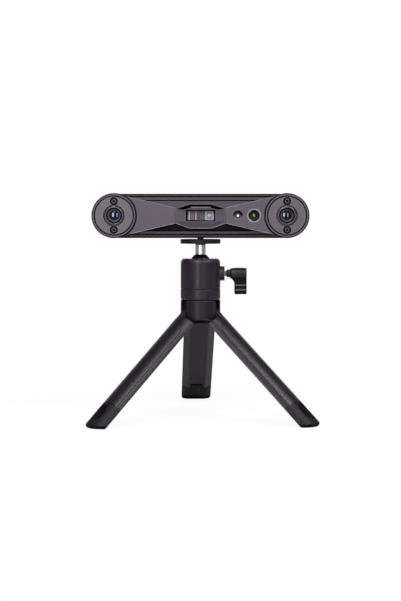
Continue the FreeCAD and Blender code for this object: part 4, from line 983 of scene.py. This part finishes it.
# %% [markdown]
# ## Floor
# A pale sheet under the feet takes the soft shadow. Past the object it fades to plain white, so
# the background has no horizon. To the camera and in reflections it is white, but darker for the
# light that bounces up, so that the undersides stay dark. It begins under the object, so what the
# lenses mirror in front of it is a dark table.
# %% A pale floor that fades out
PAPER_WHITE, PAPER_AS_A_LAMP = 0.95, 0.12
SHEET_STARTS, SHEET_IS_FULL = -0.30, -0.15
FADE_STARTS, FADE_ENDS, LEAST_FADE = 0.10, 0.42, 0.92
bpy.ops.object.select_all(action="DESELECT")
bpy.ops.mesh.primitive_circle_add(vertices=MANY_STEPS, radius=3.0, fill_type="NGON",
                                  location=(0, 0, cad_low.z))
floor = bpy.context.object
floor.name = "floor"


def looked_at(tree):
    """One where a ray comes from the camera, a reflection or a glass, and zero for plain light."""
    ray = add(tree, "ShaderNodeLightPath").outputs
    seen = add(tree, "ShaderNodeMath", {0: ray["Is Camera Ray"], 1: ray["Is Glossy Ray"]},
               operation="MAXIMUM")
    return add(tree, "ShaderNodeMath", {0: seen.outputs[0], 1: ray["Is Transmission Ray"]},
               operation="MAXIMUM").outputs[0]


paper = bpy.data.materials.new("matt_white_paper")
paper.use_nodes = True
tree = paper.node_tree
tree.nodes.clear()
camera_ray = add(tree, "ShaderNodeLightPath").outputs["Is Camera Ray"]
place = add(tree, "ShaderNodeTexCoord").outputs["Object"]
along = add(tree, "ShaderNodeSeparateXYZ", {0: place})
on_sheet = add(tree, "ShaderNodeMapRange", {
    "Value": along.outputs["Y"], "From Min": SHEET_STARTS, "From Max": SHEET_IS_FULL},
    interpolation_type="SMOOTHSTEP")
mirrored = add(tree, "ShaderNodeMath", {0: looked_at(tree), 1: on_sheet.outputs["Result"]},
               operation="MULTIPLY")
seen = add(tree, "ShaderNodeMath", {0: mirrored.outputs[0], 1: camera_ray}, operation="MAXIMUM")
sheet = add(tree, "ShaderNodeMix", {"Factor": seen.outputs[0]}, data_type="RGBA")
sheet.inputs["A"].default_value = (*[PAPER_AS_A_LAMP] * 3, 1)
sheet.inputs["B"].default_value = (*[PAPER_WHITE] * 3, 1)
matt = add(tree, "ShaderNodeBsdfDiffuse", {"Color": sheet.outputs["Result"]})
away = add(tree, "ShaderNodeVectorMath", {0: place}, operation="LENGTH")
fade = add(tree, "ShaderNodeMapRange", {
    "Value": away.outputs["Value"], "From Min": FADE_STARTS, "From Max": FADE_ENDS,
    "To Min": LEAST_FADE}, interpolation_type="SMOOTHSTEP")
far = add(tree, "ShaderNodeMath", {0: fade.outputs["Result"], 1: camera_ray}, operation="MULTIPLY")
white = add(tree, "ShaderNodeEmission", {"Color": (1, 1, 1, 1), "Strength": 1.0})
mixed = add(tree, "ShaderNodeMixShader", {
    0: far.outputs[0], 1: matt.outputs[0], 2: white.outputs[0]})
add(tree, "ShaderNodeOutputMaterial", {"Surface": mixed.outputs[0]})
floor.data.materials.append(paper)
print("the floor lies at", round(cad_low.z, 4))

# %% [markdown]
# ## Light
# Soft boxes, as in a small product studio. A large one above and left of the camera makes the
# level, and its steep light leaves grooves and undersides dark. Two tall narrow ones beside the
# camera show as upright lines in every lens. One high on the right draws the streaks on the hub
# and the right leg, one overhead lights the top faces, and a weak one behind picks out the upper
# edges. The backdrop is white where it is looked at or mirrored, and dark grey as a lamp. Away
# from it the room is dim, which is what the lenses mirror between the bright lines.
# %% World and lamps
DIM_ROOM, ROOM_AS_A_LAMP = 0.15, 0.10
# How far back a ray has to look, as the Y of its direction, to meet the backdrop.
BACKDROP_STARTS, BACKDROP_IS_FULL = 0.7, 0.95
world = bpy.data.worlds.new("studio")
bpy.context.scene.world = world
world.use_nodes = True
tree = world.node_tree
tree.nodes.clear()
way = add(tree, "ShaderNodeSeparateXYZ", {0: add(tree, "ShaderNodeTexCoord").outputs["Generated"]})
behind = add(tree, "ShaderNodeMapRange", {
    "Value": way.outputs["Y"], "From Min": BACKDROP_STARTS, "From Max": BACKDROP_IS_FULL,
    "To Min": DIM_ROOM}, interpolation_type="SMOOTHSTEP")
camera_ray = add(tree, "ShaderNodeLightPath").outputs["Is Camera Ray"]
backdrop = add(tree, "ShaderNodeMath", {0: camera_ray, 1: behind.outputs["Result"]},
               operation="MAXIMUM")
strength = add(tree, "ShaderNodeMapRange", {
    "Value": looked_at(tree), "To Min": ROOM_AS_A_LAMP, "To Max": backdrop.outputs[0]})
sky = add(tree, "ShaderNodeBackground", {
    "Color": (1, 1, 1, 1), "Strength": strength.outputs["Result"]})
add(tree, "ShaderNodeOutputWorld", {"Surface": sky.outputs[0]})


def soft_box(name, place, wide, tall, watts, aim=(0, 0, 0.14)):
    """A rectangular lamp that looks at the middle of the object, or at a point of its own."""
    lamp = bpy.data.lights.new(name, "AREA")
    lamp.shape = "RECTANGLE"
    lamp.size, lamp.size_y, lamp.energy = wide, tall, watts
    box = bpy.data.objects.new(name, lamp)
    bpy.context.scene.collection.objects.link(box)
    box.location = place
    box.rotation_euler = (Vector(aim) - Vector(place)).to_track_quat("-Z", "Y").to_euler()


soft_box("key_box", (-0.26, -0.70, 0.93), 0.5, 0.45, 7.3)
soft_box("left_strip", (-0.33, -1.05, 0.24), 0.28, 0.8, 5.0)
soft_box("right_strip", (0.31, -1.05, 0.22), 0.17, 0.75, 1.7)
soft_box("right_box", (0.56, -0.42, 0.82), 0.3, 0.3, 5.5, aim=(0.06, -0.04, 0.05))
soft_box("top_box", (0.0, 0.25, 0.95), 0.6, 0.3, 2)
soft_box("back_box", (0.1, 1.1, 0.35), 0.5, 0.5, 1.2)
print(len(bpy.data.lights), "soft boxes")

# %% [markdown]
# ## Camera
# The camera stands level, 0.98 metres in front of the tripod axis and near the height of the
# scanner. It has to show the feet as well, so the lens is shifted down, as on a view camera, which
# keeps the uprights parallel.
# %% Camera
CAMERA_AWAY, CAMERA_HIGH, FOCAL, SHIFT_DOWN = 0.980, 0.1673, 68.4, -0.132
lens = bpy.data.cameras.new("camera")
lens.lens, lens.shift_y = FOCAL, SHIFT_DOWN
camera = bpy.data.objects.new("camera", lens)
bpy.context.scene.collection.objects.link(camera)
camera.location = (tripod.x, tripod.y - CAMERA_AWAY, CAMERA_HIGH)
camera.rotation_euler = (radians(90), 0, 0)
bpy.context.scene.camera = camera
print("the camera stands at", [round(value, 4) for value in camera.location])

# %% [markdown]
# ## Last lines
# Colours are shown as they are, with no film look.
# %% Finish
bpy.context.scene.view_settings.view_transform = "Standard"
